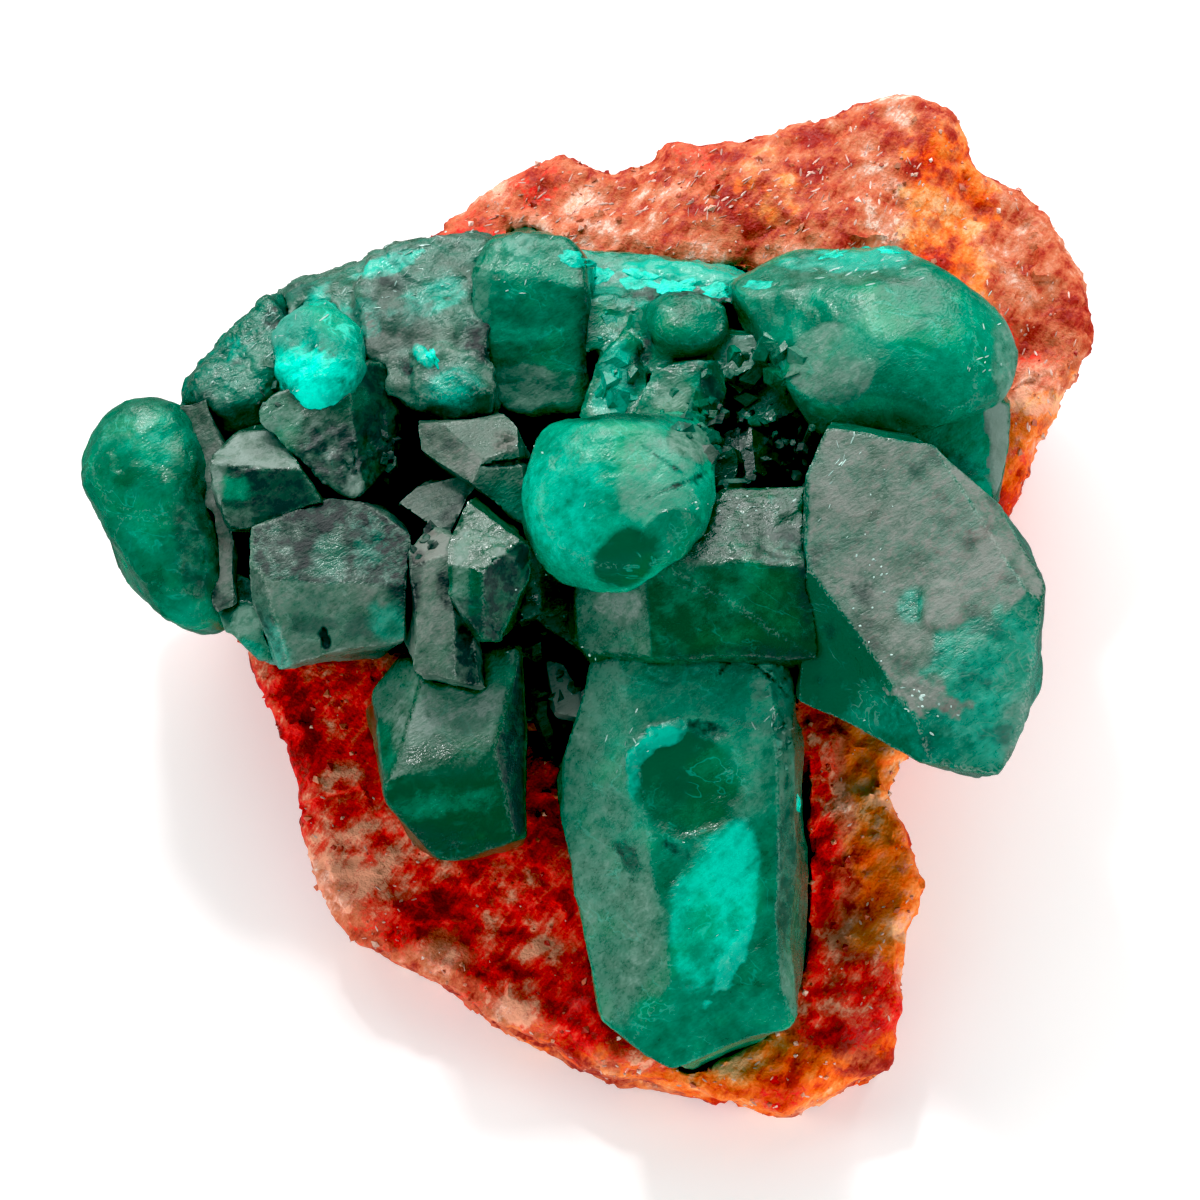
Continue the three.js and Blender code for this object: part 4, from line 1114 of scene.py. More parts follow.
mirrorFace = {
    "node": "mirror_face_crystal", "film": 0.45, "cloud": 0.0, "pits": 0.0, "ripple": (1.6, 0.02),
    "steps": (2.0, 0.015), "chips": 0.14,
    "faces": [
        facet(4, 34, film=0.45), facet(-18, 12, film=0.75, dark=0.15), facet(19, -4, film=0.45, cloud=0.2),
    ],
    "patches": [
        oval(0.9, 0.55, 1.3, 0.12, turn=8, dark=1.2, film=0, rag=0.15, raised=-0.14),
        oval(0.8, 0.75, 0.5, 0.5, film=1.0, rag=0.5, rough=(0.22, 0.2)),
        oval(0.85, 0.2, 0.6, 0.8, cloud=0.6, film=0.3, rag=0.6),
        oval(0.2, 0.1, 0.9, 0.9, dark=0.6, edge=0.5, rag=0.4),
    ],
}
makeCrystal(mirrorFace)

darkFacet = {
    "node": "dark_facet_crystal", "film": 0.55, "cloud": 0.0, "dark": 0.25, "ripple": (0.8, 0.04),
    "faces": [facet(-6, 26, film=0.6, dark=0.2)],
    "patches": [oval(0.8, 0.2, 0.8, 0.7, dark=0.8, edge=0.4, rag=0.5)],
}
makeCrystal(darkFacet)

ridgeMiddle = {
    "node": "ridge_middle_crystal", "soften": 24, "grow": 0.2, "film": 0.05, "cloud": 0.25, "crease": None,
    "ripple": (1.2, 0.1), "steps": (1.3, 0.06),
    "faces": [facet(0, -10, film=0.05, cloud=0.35), facet(2, 22, film=0.12, cloud=0.55)],
    "patches": [
        oval(0.5, 0.55, 1.7, 2.0, edge=0.9, rag=0.05, raised=0.4),
        oval(0.45, 0.14, 1.8, 1.0, film=1.1, cloud=0, edge=0.1, rag=0.25),
        oval(0.5, 0.42, 1.6, 0.4, cloud=0.6, edge=0.6, rag=0.5),
        oval(0.4, 0.85, 2.0, 0.8, turn=12, film=0.45, gem=0.25, rag=0.8, grain=3, rough=(0.4, 0.14)),
        oval(0.05, 0.5, 0.4, 2.4, film=0.5, cloud=0.4, rag=0.7, ragged=0.5),
        oval(0.98, 0.35, 0.35, 2.2, dark=0.85, edge=0.5, rag=0.4),
    ],
}
makeCrystal(ridgeMiddle)

upperRight = {
    "node": "upper_right_crystal", "soften": 75, "grow": 0.3, "crease": None, "film": 0.0, "cloud": 0.4,
    "ripple": (1.9, 0.08), "steps": (2.0, 0.05),
    "faces": [facet(-15, 56, film=0.3, cloud=0.3, gem=0.1), facet(-9, -31, film=0.0, cloud=0.8)],
    "patches": [
        oval(0.66, 0.46, 3.4, 2.5, edge=0.95, rag=0.05, raised=0.9),
        oval(0.37, 0.4, 1.7, 1.55, turn=-8, film=0.85, cloud=0.45, edge=0.06, rag=0.12, raised=-0.05),
        oval(0.5, 0.52, 1.0, 1.2, film=0.3, cloud=0.6, edge=0.5, rag=0.7),
        oval(0.74, 0.52, 2.0, 1.7, cloud=0.5, film=0.0, edge=0.5, rag=0.3),
        oval(0.5, 0.05, 4.0, 0.9, cloud=0.4, film=0.0, edge=0.4),
        oval(0.12, 0.75, 1.2, 1.0, film=0.15, cloud=0.3, edge=0.4, rag=0.6),
        oval(0.48, 0.84, 3.0, 0.25, turn=-6, film=0.35, cloud=0.1, edge=0.5, rag=0.6, grain=3),
        oval(0.46, 0.95, 2.4, 0.5, turn=4, gem=0.9, film=0.25, rag=0.9, ragged=0.6, grain=2.5,
             rough=(0.4, 0.14)),
        oval(0.97, 0.4, 0.5, 1.8, film=0.7, gem=0.2, rag=0.9, ragged=0.5),
    ],
}
makeCrystal(upperRight)

rightEdge = {
    "node": "right_edge_crystal", "soften": 3, "film": 0.0, "cloud": 0.3, "steps": (1.8, 0.04),
    "faces": [facet(-4, 2, film=0.0, cloud=1.2, gem=0.25), facet(46, 4, film=0.5, gem=0.1)],
    "patches": [
        # a pale sliver along the right rim: painted highlight
        oval(0.87, 0.57, 0.42, 1.9, film=2.0, rag=0.5, ragged=0.4),
        oval(0.3, 0.3, 1.2, 1.2, cloud=0.25, edge=0.6, rag=0.4),
    ],
}
makeCrystal(rightEdge)

middleSmall = {
    "node": "middle_small_crystals", "soften": 2, "crease": 32, "film": 0.0, "cloud": 0.3,
    "ripple": (0.7, 0.05), "steps": (0.9, 0.035), "chips": 0.12,
    "faces": [
        facet(-12, 14, film=0.0, cloud=0.3), facet(19, 15, cloud=0.5, gem=0.1),
        facet(30, 4, film=0.0, cloud=0.0), facet(0, 42, film=0.25, gem=0.5),
    ],
    "patches": [
        oval(0.47, 0.58, 1.1, 0.9, edge=0.95, rag=0.05, raised=0.5),
        oval(0.55, 0.88, 3.4, 0.45, turn=-4, gem=1.6, film=0.0, rag=0.7, ragged=0.7, grain=2, raised=0.15,
             rough=(0.4, 0.12)),
        oval(0.55, 0.76, 3.6, 0.25, dark=0.85, gem=0, film=0, edge=0.4, rag=0.6),
        oval(0.47, 0.58, 1.45, 1.05, cloud=0.35, gem=0.0, film=0.0, edge=0.2),
        oval(0.17, 0.27, 0.7, 1.5, turn=-12, gem=0.8, film=0.2, rag=0.5),
        oval(0.78, 0.46, 1.1, 0.7, film=0.6, cloud=0.2, rag=0.5),
        oval(0.44, 0.2, 0.9, 0.8, turn=25, film=0.6, cloud=0.2, rag=0.4),
        oval(0.62, 0.2, 0.4, 1.2, dark=0.8, rag=0.8, ragged=0.5),
        oval(0.3, 0.4, 0.3, 1.4, turn=-25, dark=0.8, rag=0.8, ragged=0.5),
    ],
}
makeCrystal(middleSmall)

upperRidge = {
    "node": "upper_ridge_crystals", "soften": 16, "crease": None, "film": 0.35, "cloud": 0.2,
    "ripple": (0.9, 0.14), "steps": (1.0, 0.09),
    "faces": [
        facet(-3, 8, film=0.35, cloud=0.15), facet(-8, 48, film=0.2, cloud=0.5, gem=0.1),
        facet(-2, 34, film=0.3, cloud=0.4), facet(-8, 16, film=0.4, cloud=0.15),
        facet(7, -17, film=0.0, cloud=0.0, dark=0.3),
    ],
    "patches": [
        oval(0.8, 0.16, 1.1, 0.9, gem=0.35, cloud=0.6, film=0.0, edge=0.5, raised=0.35),
        oval(0.8, 0.02, 1.3, 0.4, dark=0.5, gem=0, edge=0.4),
        oval(0.67, 0.35, 0.26, 0.6, turn=35, gem=1.5, film=0.0, edge=0.1, rag=0.15, raised=0.2),
        oval(0.6, 0.3, 0.25, 0.5, turn=30, dark=1.0, film=0, rag=0.5),
        oval(0.52, 0.84, 1.1, 0.45, turn=20, gem=1.1, film=0.1, rag=0.9, ragged=0.5, grain=3,
             rough=(0.4, 0.14)),
        oval(0.2, 0.62, 1.2, 0.5, turn=38, gem=0.8, film=0.1, rag=1.0, ragged=0.6, grain=3),
        oval(0.4, 0.55, 0.9, 0.6, turn=10, gem=0.7, film=0.1, rag=0.9, ragged=0.6),
        oval(0.72, 0.66, 1.5, 0.7, turn=30, gem=0.4, cloud=0.5, film=0.1, rag=1.0, ragged=0.7, grain=2.5),
        oval(0.5, 0.55, 1.4, 1.4, film=0.55, dark=0.3, rag=0.6),
        oval(0.9, 0.42, 0.8, 0.9, turn=30, dark=0.9, rag=0.7),
        oval(0.95, 0.75, 0.6, 1.2, cloud=0.6, film=0.05, edge=0.4, rag=0.6),
    ],
}
makeCrystal(upperRidge)

gapCrystals = {
    "node": "gap_crystals", "film": 0.25, "cloud": 0.0, "dark": 0.45, "ripple": (0.6, 0.08), "chips": 0.2,
    "faces": [facet(-4, 14, film=0.4, dark=0.3), facet(32, 13, film=0.05, dark=0.3)],
}
makeCrystal(gapCrystals)

cavityCrystals = {
    "node": "cavity_crystals", "film": 0.02, "cloud": -0.1, "dark": 0.55, "ripple": (0.5, 0.08), "chips": 0.2,
}
makeCrystal(cavityCrystals)

# pale all over: painted light on a splinter that lies in shade
splinter = {"node": "splinter_crystal", "film": 2.0, "cloud": 0.3, "pits": 0.0, "chips": 0.05}
makeCrystal(splinter)
print("crystals made")


# the small things come next: druse in the gaps, darkened with painted shade, turquoise crust, flecks that are
# partly painted glints, and grains on the rock
def finishedSurface(names):
    meshes = [bpy.data.objects[name].data for name in names]
    places = [toFace(meshPoints(mesh) / mm) for mesh in meshes]
    return surfaceTree(zip(places, ([p.vertices for p in mesh.polygons] for mesh in meshes)))


crystalNames = [labelFor(node) for node in sorted(slotOf) if node != rockNode]
frontOf = finishedSurface(crystalNames + ["rock"])
rockFront = finishedSurface(["rock"])
print("surface ready for the small pieces")


# the place and normal on a surface straight under a point of the face
def under(tree, x, v):
    place, normal, _, _ = tree.ray_cast((x, v, 40), (0, 0, -1))
    return (None, None) if place is None else (np.array(place), np.array(normal))


# many small closed shapes gathered in one mesh
class Heap:
    def __init__(self):
        self.points, self.faces, self.masks, self.count = [], [], [], 0

    def add(self, points, faces, mask):
        self.points.append(points)
        self.masks.append(np.tile(mask, (len(points), 1)))
        self.faces += [[self.count + k for k in face] for face in faces]
        self.count += len(points)

    def finish(self, name, material, crease=20):
        mesh = bpy.data.meshes.new(name)
        mesh.from_pydata((fromFace(np.concatenate(self.points)) * mm).tolist(), [], self.faces)
        mesh.update()
        setMask(mesh, np.concatenate(self.masks))
        finishPiece(mesh, name, material, None, crease)
        print(name, len(mesh.polygons), "faces")


# three directions square to one another, the last along the axis
def frameAround(axis, turn):
    axis = axis / np.linalg.norm(axis)
    side = np.cross(axis, [1, 0, 0] if abs(axis[0]) < 0.8 else [0, 1, 0])
    side /= np.linalg.norm(side)
    other = np.cross(axis, side)
    c, s = math.cos(turn), math.sin(turn)
    return np.stack([side * c + other * s, other * c - side * s, axis])


# a small six-sided crystal with a three-faced tip, as flat and as lopsided as its shape says
def smallCrystal(base, axis, wide, tall, turn, shape):
    flat, lean = shape
    ring = [(math.cos(k * math.pi / 3) * wide, math.sin(k * math.pi / 3) * wide * flat) for k in range(6)]
    tip = wide * 0.75
    local = [(x, y, -wide) for x, y in ring]
    local += [(x, y, tall - tip * (1 if k % 2 else 0.5) + lean * x) for k, (x, y) in enumerate(ring)]
    local.append((0.3 * lean * wide, 0, tall))
    sides = [[k, (k + 1) % 6, 6 + (k + 1) % 6, 6 + k] for k in range(6)]
    top = [[12, 6 + k, 6 + k + 1, 6 + (k + 2) % 6] for k in (0, 2, 4)]
    return base + np.array(local) @ frameAround(axis, turn), sides + top + [[5, 4, 3, 2, 1, 0]]


# how shut in a point of the face is: the share of eight directions that within reach meet something higher
# than it by a wall, and how high that is on the whole
def shutIn(x, v, depth, reach, wall):
    walls, heights = 0, []
    for c, s in eightWays:
        tops = [under(frontOf, x + c * step, v + s * step)[0] for step in (0.35 * reach, 0.7 * reach, reach)]
        high = max((top[2] for top in tops if top is not None), default=-9)
        walls += high > depth + wall
        heights.append(high)
    return walls / len(eightWays), sorted(heights)[3]


# small crystals that fill the gaps between the big ones. Each field: left, right, bottom and top on the face,
# tries, widths in mm, and shares of the way up to the crystals around
druseSettings = {
    "seed": 12, "reach": 3.2, "wall": 1.6, "shut": 0.85,  # shut: how shut in a place has to be
    "fields": [
        (0.1, 0.92, 0.2, 0.86, 3000, (0.14, 0.5), (0.15, 0.75)),
        (0.58, 0.73, 0.56, 0.72, 1500, (0.12, 0.4), (0.5, 0.95)),
        (0.36, 0.46, 0.38, 0.56, 700, (0.14, 0.5), (0.3, 0.7)),
        (0.3, 0.44, 0.52, 0.64, 700, (0.2, 0.6), (0.3, 0.75)),
    ],
    # druse tints: a little film and sheen, and much painted shade so that the gaps stay dark; bright is the
    # odds of a pale one
    "film": (0.0, 0.6), "dark": (0.2, 0.9), "bright": 0.12,
}


def makeDruse(settings):
    random = np.random.default_rng(settings["seed"])
    heap = Heap()
    walling = (settings["reach"], settings["wall"])
    for left, right, bottom, top, tries, widths, rises in settings["fields"]:
        for _ in range(tries):
            x, v = onFace(random.uniform(left, right), random.uniform(bottom, top))
            foot, _ = under(rockFront, x, v)
            front, _ = under(frontOf, x, v)
            if foot is None or front[2] > foot[2] + 0.05:
                continue
            walls, around = shutIn(x, v, foot[2], *walling)
            if walls < settings["shut"]:
                continue
            wide = random.uniform(*widths) * random.uniform(0.6, 1)
            rise = (around - foot[2]) * random.uniform(*rises) * random.uniform(0.5, 1)
            axis = np.array([0, 0, 1]) + random.normal(0, 0.2, 3)
            tip = foot + axis * rise
            if shutIn(tip[0], tip[1], foot[2], *walling)[0] < settings["shut"]:
                continue
            # painted shade darkens most druse
            tint = [random.uniform(*settings["film"]), 0.1, 0, random.uniform(*settings["dark"])]
            if random.random() < settings["bright"]:
                tint = [0.7, 0.3, random.random() * 0.5, 0]
            shape = (random.uniform(0.5, 1), random.uniform(-0.8, 0.8))
            heap.add(*smallCrystal(foot, axis, wide, max(rise, 0.3), random.uniform(0, 3), shape), tint)
    heap.finish("druse", dioptase["grey_dioptase"])


makeDruse(druseSettings)


# small crystals that stand on the big ones. Each cluster: place and size in shares of the face, how many,
# widths and rises in mm, lean in degrees right and up, and the least and most of film and sheen, cloud,
# gem and glow, and painted shade
greenClusters = {
    "slot": "teal_dioptase", "seed": 21,
    "clusters": [
        (0.655, 0.72, 0.05, 0.035, 34, (0.15, 0.8), (0, 0.4), (0, 10), (0, 0, 0, 0), (0.7, 0.6, 0.1, 0.4)),
        (0.605, 0.67, 0.04, 0.025, 30, (0.15, 0.6), (0, 0.4), (0, 5), (0, 0, 0, 0), (0.6, 0.4, 0.3, 0.6)),
        (0.515, 0.715, 0.02, 0.05, 18, (0.15, 0.7), (0, 0.3), (-10, 10), (0, 0.2, 0, 0), (0.3, 0.7, 1, 0.3)),
        (0.675, 0.375, 0.012, 0.04, 12, (0.1, 0.3), (0, 0.1), (20, 0), (0.4, 0.5, 0, 0), (1, 0.7, 0.4, 0.1)),
    ],
}
greyClusters = {
    "slot": "grey_dioptase", "seed": 22,
    "clusters": [
        (0.63, 0.66, 0.04, 0.035, 30, (0.1, 0.5), (0, 0.5), (0, 5), (0, 0, 0, 0.2), (0.9, 0.2, 0.2, 0.9)),
        (0.3, 0.645, 0.03, 0.02, 16, (0.12, 0.5), (0, 0.1), (5, 5), (0.1, 0, 0, 0.3), (0.7, 0.1, 0.1, 0.9)),
        (0.17, 0.7, 0.015, 0.03, 10, (0.15, 0.4), (0, 0.1), (-10, 10), (0.3, 0.1, 0, 0),
         (0.9, 0.5, 0.2, 0.6)),
        (0.33, 0.56, 0.015, 0.03, 10, (0.2, 0.5), (0, 0.1), (0, 5), (0.1, 0, 0, 0.4), (0.8, 0.2, 0.1, 0.9)),
        (0.47, 0.42, 0.012, 0.03, 10, (0.12, 0.4), (0, 0.2), (0, 0), (0.1, 0, 0, 0.2), (0.9, 0.3, 0.1, 0.9)),
    ],
}
clusterSunk = 0.2  # how deep they stand in the crystal under them, in mm


def makeClusters(label, settings):
    random = np.random.default_rng(settings["seed"])
    heap = Heap()
    for right, up, wide, high, count, widths, rises, lean, least, most in settings["clusters"]:
        for _ in range(count):
            x, v = onFace(*((right, up) + random.normal(0, 0.5, 2) * (wide, high)))
            foot, _ = under(frontOf, x, v)
            if foot is None:
                continue
            axis = looking(*lean) + random.normal(0, 0.28, 3)
            thick = widths[0] + (widths[1] - widths[0]) * random.random() ** 2
            shape = (random.uniform(0.45, 1), random.uniform(-0.8, 0.8))
            tall = clusterSunk + random.uniform(*rises)
            made = smallCrystal(foot - [0, 0, clusterSunk], axis, thick, tall, random.uniform(0, 3), shape)
            heap.add(*made, random.uniform(least, most))
    heap.finish(label, dioptase[settings["slot"]])


makeClusters("greenClusters", greenClusters)
makeClusters("greyClusters", greyClusters)


plateCrease = 35  # degrees


# a thin ragged plate that lies on whatever is under it, from a middle point out in rings
def drapedPlate(x, v, wide, tall, turn, thick, seed, rings, around, rag):
    random = np.random.default_rng(seed)
    middle, _ = under(frontOf, x, v)
    if middle is None:
        return None
    edge = 1 + rag * random.uniform(-1, 1, around)
    edge = (edge + np.roll(edge, 1)) / 2
    c, s = math.cos(math.radians(turn)), math.sin(math.radians(turn))
    lowest, highest = middle[2] - 0.6, middle[2] + 0.35  # how far down and up it follows, in mm
    top, bottom = [], []
    for ring in range(rings + 1):
        for k in range(around if ring else 1):
            angle = 2 * math.pi * k / around
            reach = ring / rings * (edge[k] if ring else 1)
            a, b = wide * reach * math.cos(angle), tall * reach * math.sin(angle)
            px, pv = x + a * c - b * s, v + a * s + b * c
            place, _ = under(frontOf, px, pv)
            d = middle[2] if place is None else float(np.clip(place[2], lowest, highest))
            lift = thick * (1 - (ring / rings) ** 3) * (1 + 0.35 * random.uniform(-1, 1))
            top.append((px, pv, d + lift + 0.01))
            bottom.append((px, pv, d - 0.12))  # sunk in what it lies on
    faces = []
    count = len(top)
    for k in range(around):
        n = (k + 1) % around
        faces += [[0, 1 + k, 1 + n], [count, count + 1 + n, count + 1 + k]]
        for ring in range(1, rings):
            a, b = 1 + (ring - 1) * around, 1 + ring * around
            faces.append([a + k, b + k, b + n, a + n])
            faces.append([count + a + k, count + a + n, count + b + n, count + b + k])
        last = 1 + (rings - 1) * around
        faces.append([last + k, count + last + k, count + last + n, last + n])
    return np.array(top + bottom), faces


# turquoise crust along the upper contact: right and up on the face, half sizes in mm, turn, thickness, and
# how much bright turquoise gem it has
crustSettings = {
    "shape": {"rings": 5, "around": 22, "rag": 0.6},
    "spots": [
        (0.475, 0.83, 0.6, 0.26, -10, 0.04, 0.5), (0.5, 0.815, 0.5, 0.3, 10, 0.05, 0.7),
        (0.54, 0.812, 0.8, 0.34, -8, 0.05, 0.8), (0.58, 0.803, 0.9, 0.36, -4, 0.06, 0.9),
        (0.62, 0.8, 0.8, 0.32, 4, 0.06, 0.7), (0.655, 0.805, 0.5, 0.2, 6, 0.04, 0.5),
        (0.73, 0.835, 0.6, 0.16, 12, 0.03, 0.6), (0.76, 0.842, 0.5, 0.16, 8, 0.04, 0.8),
        (0.785, 0.838, 0.4, 0.14, -12, 0.04, 0.7), (0.335, 0.735, 0.16, 0.4, 30, 0.1, 1.0),
        (0.695, 0.305, 0.1, 0.4, 8, 0.12, 0.8),
    ],
}


def makeCrust(settings):
    heap = Heap()
    for k, (right, up, wide, tall, turn, thick, gem) in enumerate(settings["spots"]):
        x, v = onFace(right, up)
        made = drapedPlate(x, v, wide, tall, turn, thick, 100 + k, **settings["shape"])
        if made:
            heap.add(*made, [0.05, 0.6, gem, 0])
    heap.finish("crust", dioptase["turquoise_dioptase"], plateCrease)


makeCrust(crustSettings)


# pale flecks and scratches, most of them painted glints: right, up, width and height of each field in shares
# of the face, how many, their lengths and widths in mm, and their turn
fleckAndGlintSettings = {
    "seed": 31, "slot": "grey_dioptase", "onRock": False, "thick": 0.03, "tint": (0.62, 0.85, 0.78),
    "fields": [
        (0.745, 0.63, 0.03, 0.05, 12, (0.1, 0.35), (0.012, 0.03), 60),
        (0.77, 0.53, 0.03, 0.1, 26, (0.03, 0.12), (0.015, 0.04), 40),
        (0.81, 0.4, 0.04, 0.02, 18, (0.05, 0.2), (0.02, 0.06), -20),
        (0.63, 0.6, 0.05, 0.03, 26, (0.03, 0.12), (0.015, 0.05), 20),
        (0.6, 0.585, 0.09, 0.008, 10, (0.05, 0.2), (0.015, 0.03), 0),
        (0.47, 0.44, 0.03, 0.03, 8, (0.04, 0.1), (0.03, 0.06), 10),
        (0.17, 0.72, 0.04, 0.05, 12, (0.04, 0.2), (0.012, 0.03), 45),
        (0.25, 0.8, 0.08, 0.03, 24, (0.06, 0.35), (0.012, 0.03), 32),
        (0.4, 0.82, 0.09, 0.025, 24, (0.06, 0.3), (0.012, 0.03), 25),
        (0.76, 0.82, 0.05, 0.015, 16, (0.08, 0.4), (0.012, 0.03), 12),
        (0.88, 0.74, 0.02, 0.05, 12, (0.08, 0.3), (0.012, 0.03), 60),
        (0.67, 0.39, 0.02, 0.03, 14, (0.08, 0.4), (0.012, 0.03), 60),
        (0.53, 0.36, 0.02, 0.03, 10, (0.08, 0.3), (0.012, 0.03), 50),
        (0.43, 0.655, 0.015, 0.015, 18, (0.04, 0.12), (0.02, 0.05), 10),
        (0.44, 0.5, 0.03, 0.05, 8, (0.03, 0.1), (0.02, 0.04), 0),
        (0.6, 0.2, 0.04, 0.06, 6, (0.03, 0.12), (0.01, 0.02), 10),
        (0.17, 0.76, 0.03, 0.03, 16, (0.06, 0.4), (0.012, 0.03), 48),
        (0.34, 0.85, 0.1, 0.015, 22, (0.08, 0.45), (0.012, 0.035), 22),
    ],
}

# pale streaks of quartz in the rock
veinSettings = {
    "seed": 32, "slot": "red_matrix", "onRock": True, "thick": 0.03, "tint": (0.86, 0.56, 0.46),
    "fields": [
        (0.45, 0.89, 0.16, 0.04, 90, (0.06, 0.4), (0.02, 0.05), 20),
        (0.62, 0.9, 0.14, 0.06, 110, (0.06, 0.4), (0.02, 0.05), 35),
        (0.76, 0.92, 0.1, 0.1, 90, (0.06, 0.35), (0.02, 0.05), 60),
        (0.92, 0.72, 0.08, 0.2, 90, (0.05, 0.3), (0.02, 0.05), 80),
        (0.26, 0.2, 0.14, 0.14, 70, (0.05, 0.3), (0.02, 0.05), -35),
        (0.8, 0.22, 0.08, 0.24, 70, (0.05, 0.25), (0.02, 0.05), 70),
        (0.6, 0.04, 0.2, 0.05, 50, (0.05, 0.25), (0.02, 0.05), 0),
    ],
}


fleckShape = {"rings": 1, "around": 7, "rag": 0.3}


def makeFlecks(label, settings, material):
    random = np.random.default_rng(settings["seed"])
    heap = Heap()
    for right, up, wide, high, count, long, narrow, turn in settings["fields"]:
        for _ in range(count):
            x, v = onFace(right + random.normal(0, 0.5) * wide, up + random.normal(0, 0.5) * high)
            ground, _ = under(rockFront, x, v)
            front, _ = under(frontOf, x, v)
            if settings["onRock"] and (ground is None or front[2] > ground[2] + 0.05):
                continue
            made = drapedPlate(
                x, v, random.uniform(*long) * 0.6, random.uniform(*narrow), turn + random.normal(0, 25),
                settings["thick"], int(random.integers(1e6)), **fleckShape,
            )
            if made:
                heap.add(*made, [*np.array(settings["tint"]) * random.uniform(0.5, 1), 1])
    heap.finish(label, material, plateCrease)


# pale stone for the flecks, which are partly painted glints, and for the grains, where the mask holds their
# red, green and blue
def grainMaterial(name, look):
    material, tree = newMaterial(name)
    tint = addNode(tree, "ShaderNodeAttribute", attribute_name="mask").outputs["Color"]
    mottle = noiseAt(tree, placeInMm(tree), 0.2, 3)
    body = mixColours(tree, stretch(tree, mottle, 0.4, 0.7, 0, look["share"]), tint, look["shade"])
    rough = stretch(tree, mottle, 0.3, 0.7, *look["rough"])
    addShader(tree, {"IOR": 1.54}, {"Base Color": body, "Roughness": rough})
    return material


fleckAndGlintStone = grainMaterial("paleFlecks", {"share": 0.5, "shade": (0.1, 0.3, 0.24), "rough": (0.12, 0.4)})
grainStone = grainMaterial("rockGrains", {"share": 0.6, "shade": (0.5, 0.08, 0.05), "rough": (0.15, 0.5)})


# a chip of stone: a stretched, uneven octahedron half sunk in the surface
def stoneChip(place, normal, size, random):
    local = np.array([(1, 0, 0), (0, 1, 0), (-1, 0, 0), (0, -1, 0), (0, 0, 0.8), (0, 0, -0.8)], float)
    local *= random.uniform(0.6, 1.3, (6, 1)) * size
    faces = [[0, 1, 4], [1, 2, 4], [2, 3, 4], [3, 0, 4], [1, 0, 5], [2, 1, 5], [3, 2, 5], [0, 3, 5]]
    return place + local @ frameAround(normal + random.normal(0, 0.4, 3), random.uniform(0, 3)), faces


# grains on the open rock, away from the painted shade in the gaps, with the odds of each tint where the rock
# is not red and where it is
grainSettings = {
    "seed": 8, "count": 1500, "size": (0.04, 0.22), "lowest": 0.8, "mostBed": 0.3,
    "tints": [(0.8, 0.5, 0.38), (0.72, 0.3, 0.18), (0.6, 0.14, 0.07), (0.35, 0.01, 0.01), (0.9, 0.75, 0.66)],
    "oddsPlain": (0.2, 0.3, 0.3, 0.02, 0.12), "oddsRed": (0.06, 0.08, 0.2, 0.6, 0.04),
}


def makeGrains(settings):
    random = np.random.default_rng(settings["seed"])
    mesh = rockObject.data
    points, normals = toFace(meshPoints(mesh) / mm), toFace(meshNormals(mesh))
    mask = readAll(mesh.attributes["mask"].data, "color", 4)
    height = meshPoints(mesh)[:, 2] / mm
    bare = mask[:, 3] < settings["mostBed"]
    spots = np.flatnonzero(bare & (height > settings["lowest"]) & (normals[:, 2] > -0.3))
    heap = Heap()
    tints, plain, reddish = (np.array(settings[key]) for key in ("tints", "oddsPlain", "oddsRed"))
    for k in random.choice(spots, settings["count"], replace=False):
        size = settings["size"][0] + (settings["size"][1] - settings["size"][0]) * random.random() ** 2.5
        red = mask[k, 0] * (0.6 + 0.4 * random.random())
        odds = plain * (1 - red) + reddish * red
        tint = tints[random.choice(len(tints), p=odds / odds.sum())] * random.uniform(0.75, 1.1)
        heap.add(*stoneChip(points[k], normals[k], size, random), [*tint.clip(0, 1), 1])
    heap.finish("grains", grainStone)


makeFlecks("flecks", fleckAndGlintSettings, fleckAndGlintStone)
makeFlecks("rockVeins", veinSettings, grainStone)
makeGrains(grainSettings)
print("small pieces made")


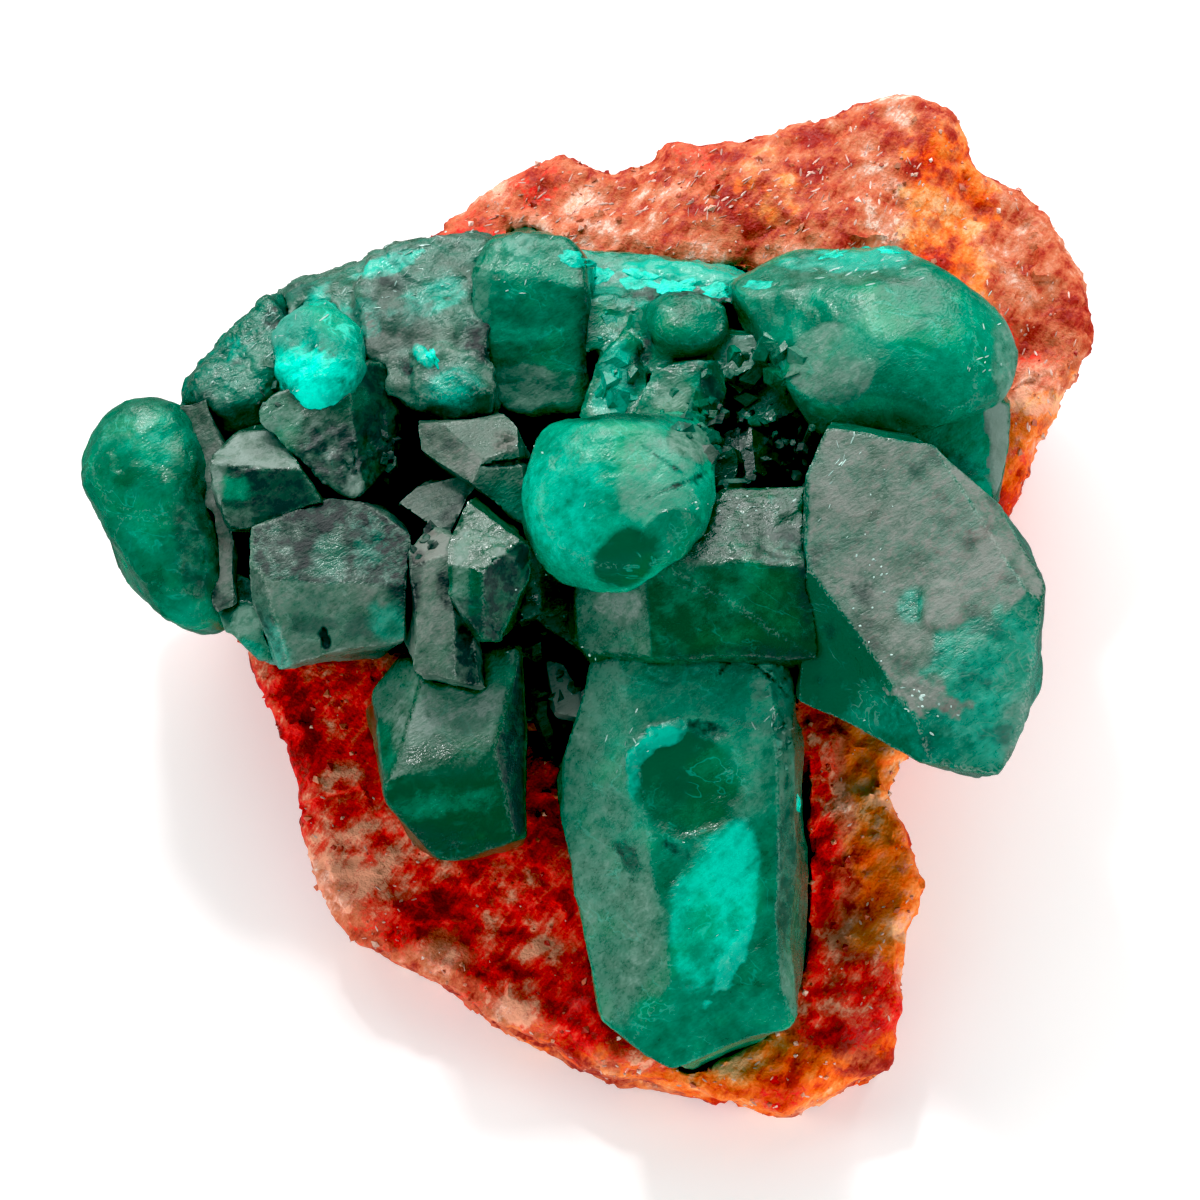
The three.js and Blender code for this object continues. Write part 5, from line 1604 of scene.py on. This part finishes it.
studio = {
    "floor": (0.82, 0.82, 0.82), "floorWide": 0.7, "floorGlow": 0.34, "world": 0.24, "backdrop": 0.95,
    "black": (0.028, 0.009, 0.012),  # what the picture shows as black
    # name, the degrees right and up of straight out of the face that it shines from, distance and size in
    # metres, power, and whether it is seen in shiny faces
    "lamps": [
        ("top softbox", (-10, 76), 0.4, (0.5, 0.2), 1.4, True),
        ("key", (-22, 56), 0.4, (0.035, 0.035), 0.5, True),
        ("softbox", (-8, 46), 0.35, (0.5, 0.24), 0.4, True),
        ("left fill", (-74, 2), 0.4, (0.14, 0.24), 0.6, False),
        ("right rim", (74, -10), 0.4, (0.12, 0.26), 0.9, False),
        ("low fill", (12, -60), 0.4, (0.5, 0.16), 1.3, False),
    ],
    "bounces": 4,
}


def addStudio(setup):
    world = bpy.data.worlds.new("studio")
    world.use_nodes = True
    tree = world.node_tree
    background = tree.nodes["Background"]
    # the backdrop is brighter than the light it gives
    seen = addNode(tree, "ShaderNodeLightPath").outputs["Is Camera Ray"]
    bright = sums(tree, "MULTIPLY_ADD", seen, setup["backdrop"] - setup["world"], setup["world"])
    background.inputs["Color"].default_value = (1, 1, 1, 1)
    tree.links.new(bright, background.inputs["Strength"])
    bpy.context.scene.world = world

    bpy.ops.mesh.primitive_plane_add(size=setup["floorWide"], location=(0, 0, 0))
    floor = bpy.context.object
    floor.name = "floor"
    material, tree = newMaterial("paleFloor")
    addShader(tree, {
        "Base Color": (*setup["floor"], 1), "Roughness": 0.9, "Specular IOR Level": 0.1,
        "Emission Color": (1, 1, 1, 1), "Emission Strength": setup["floorGlow"],
    }, {})
    material.cycles.emission_sampling = "NONE"
    floor.data.materials.append(material)
    floor.visible_glossy = False

    for name, (right, up), distance, size, power, shiny in setup["lamps"]:
        data = bpy.data.lights.new(name, "AREA")
        data.shape = "RECTANGLE"
        data.size, data.size_y = size
        data.energy = power
        lamp = bpy.data.objects.new(name, data)
        bpy.context.scene.collection.objects.link(lamp)
        direction = Vector(fromFace(looking(right, up)[None])[0])
        lamp.location = direction * distance
        lamp.visible_glossy = shiny
        lamp.rotation_mode = "QUATERNION"
        lamp.rotation_quaternion = direction.to_track_quat("Z", "Y")

    cycles = bpy.context.scene.cycles
    cycles.max_bounces = cycles.transmission_bounces = setup["bounces"]
    cycles.diffuse_bounces, cycles.glossy_bounces = 2, 2
    cycles.caustics_refractive = cycles.caustics_reflective = cycles.use_light_tree = False

    view = bpy.context.scene.view_settings
    view.view_transform = "Standard"
    view.use_curve_mapping = True
    view.curve_mapping.black_level = setup["black"]
    view.curve_mapping.update()


addStudio(studio)
print("studio lit")
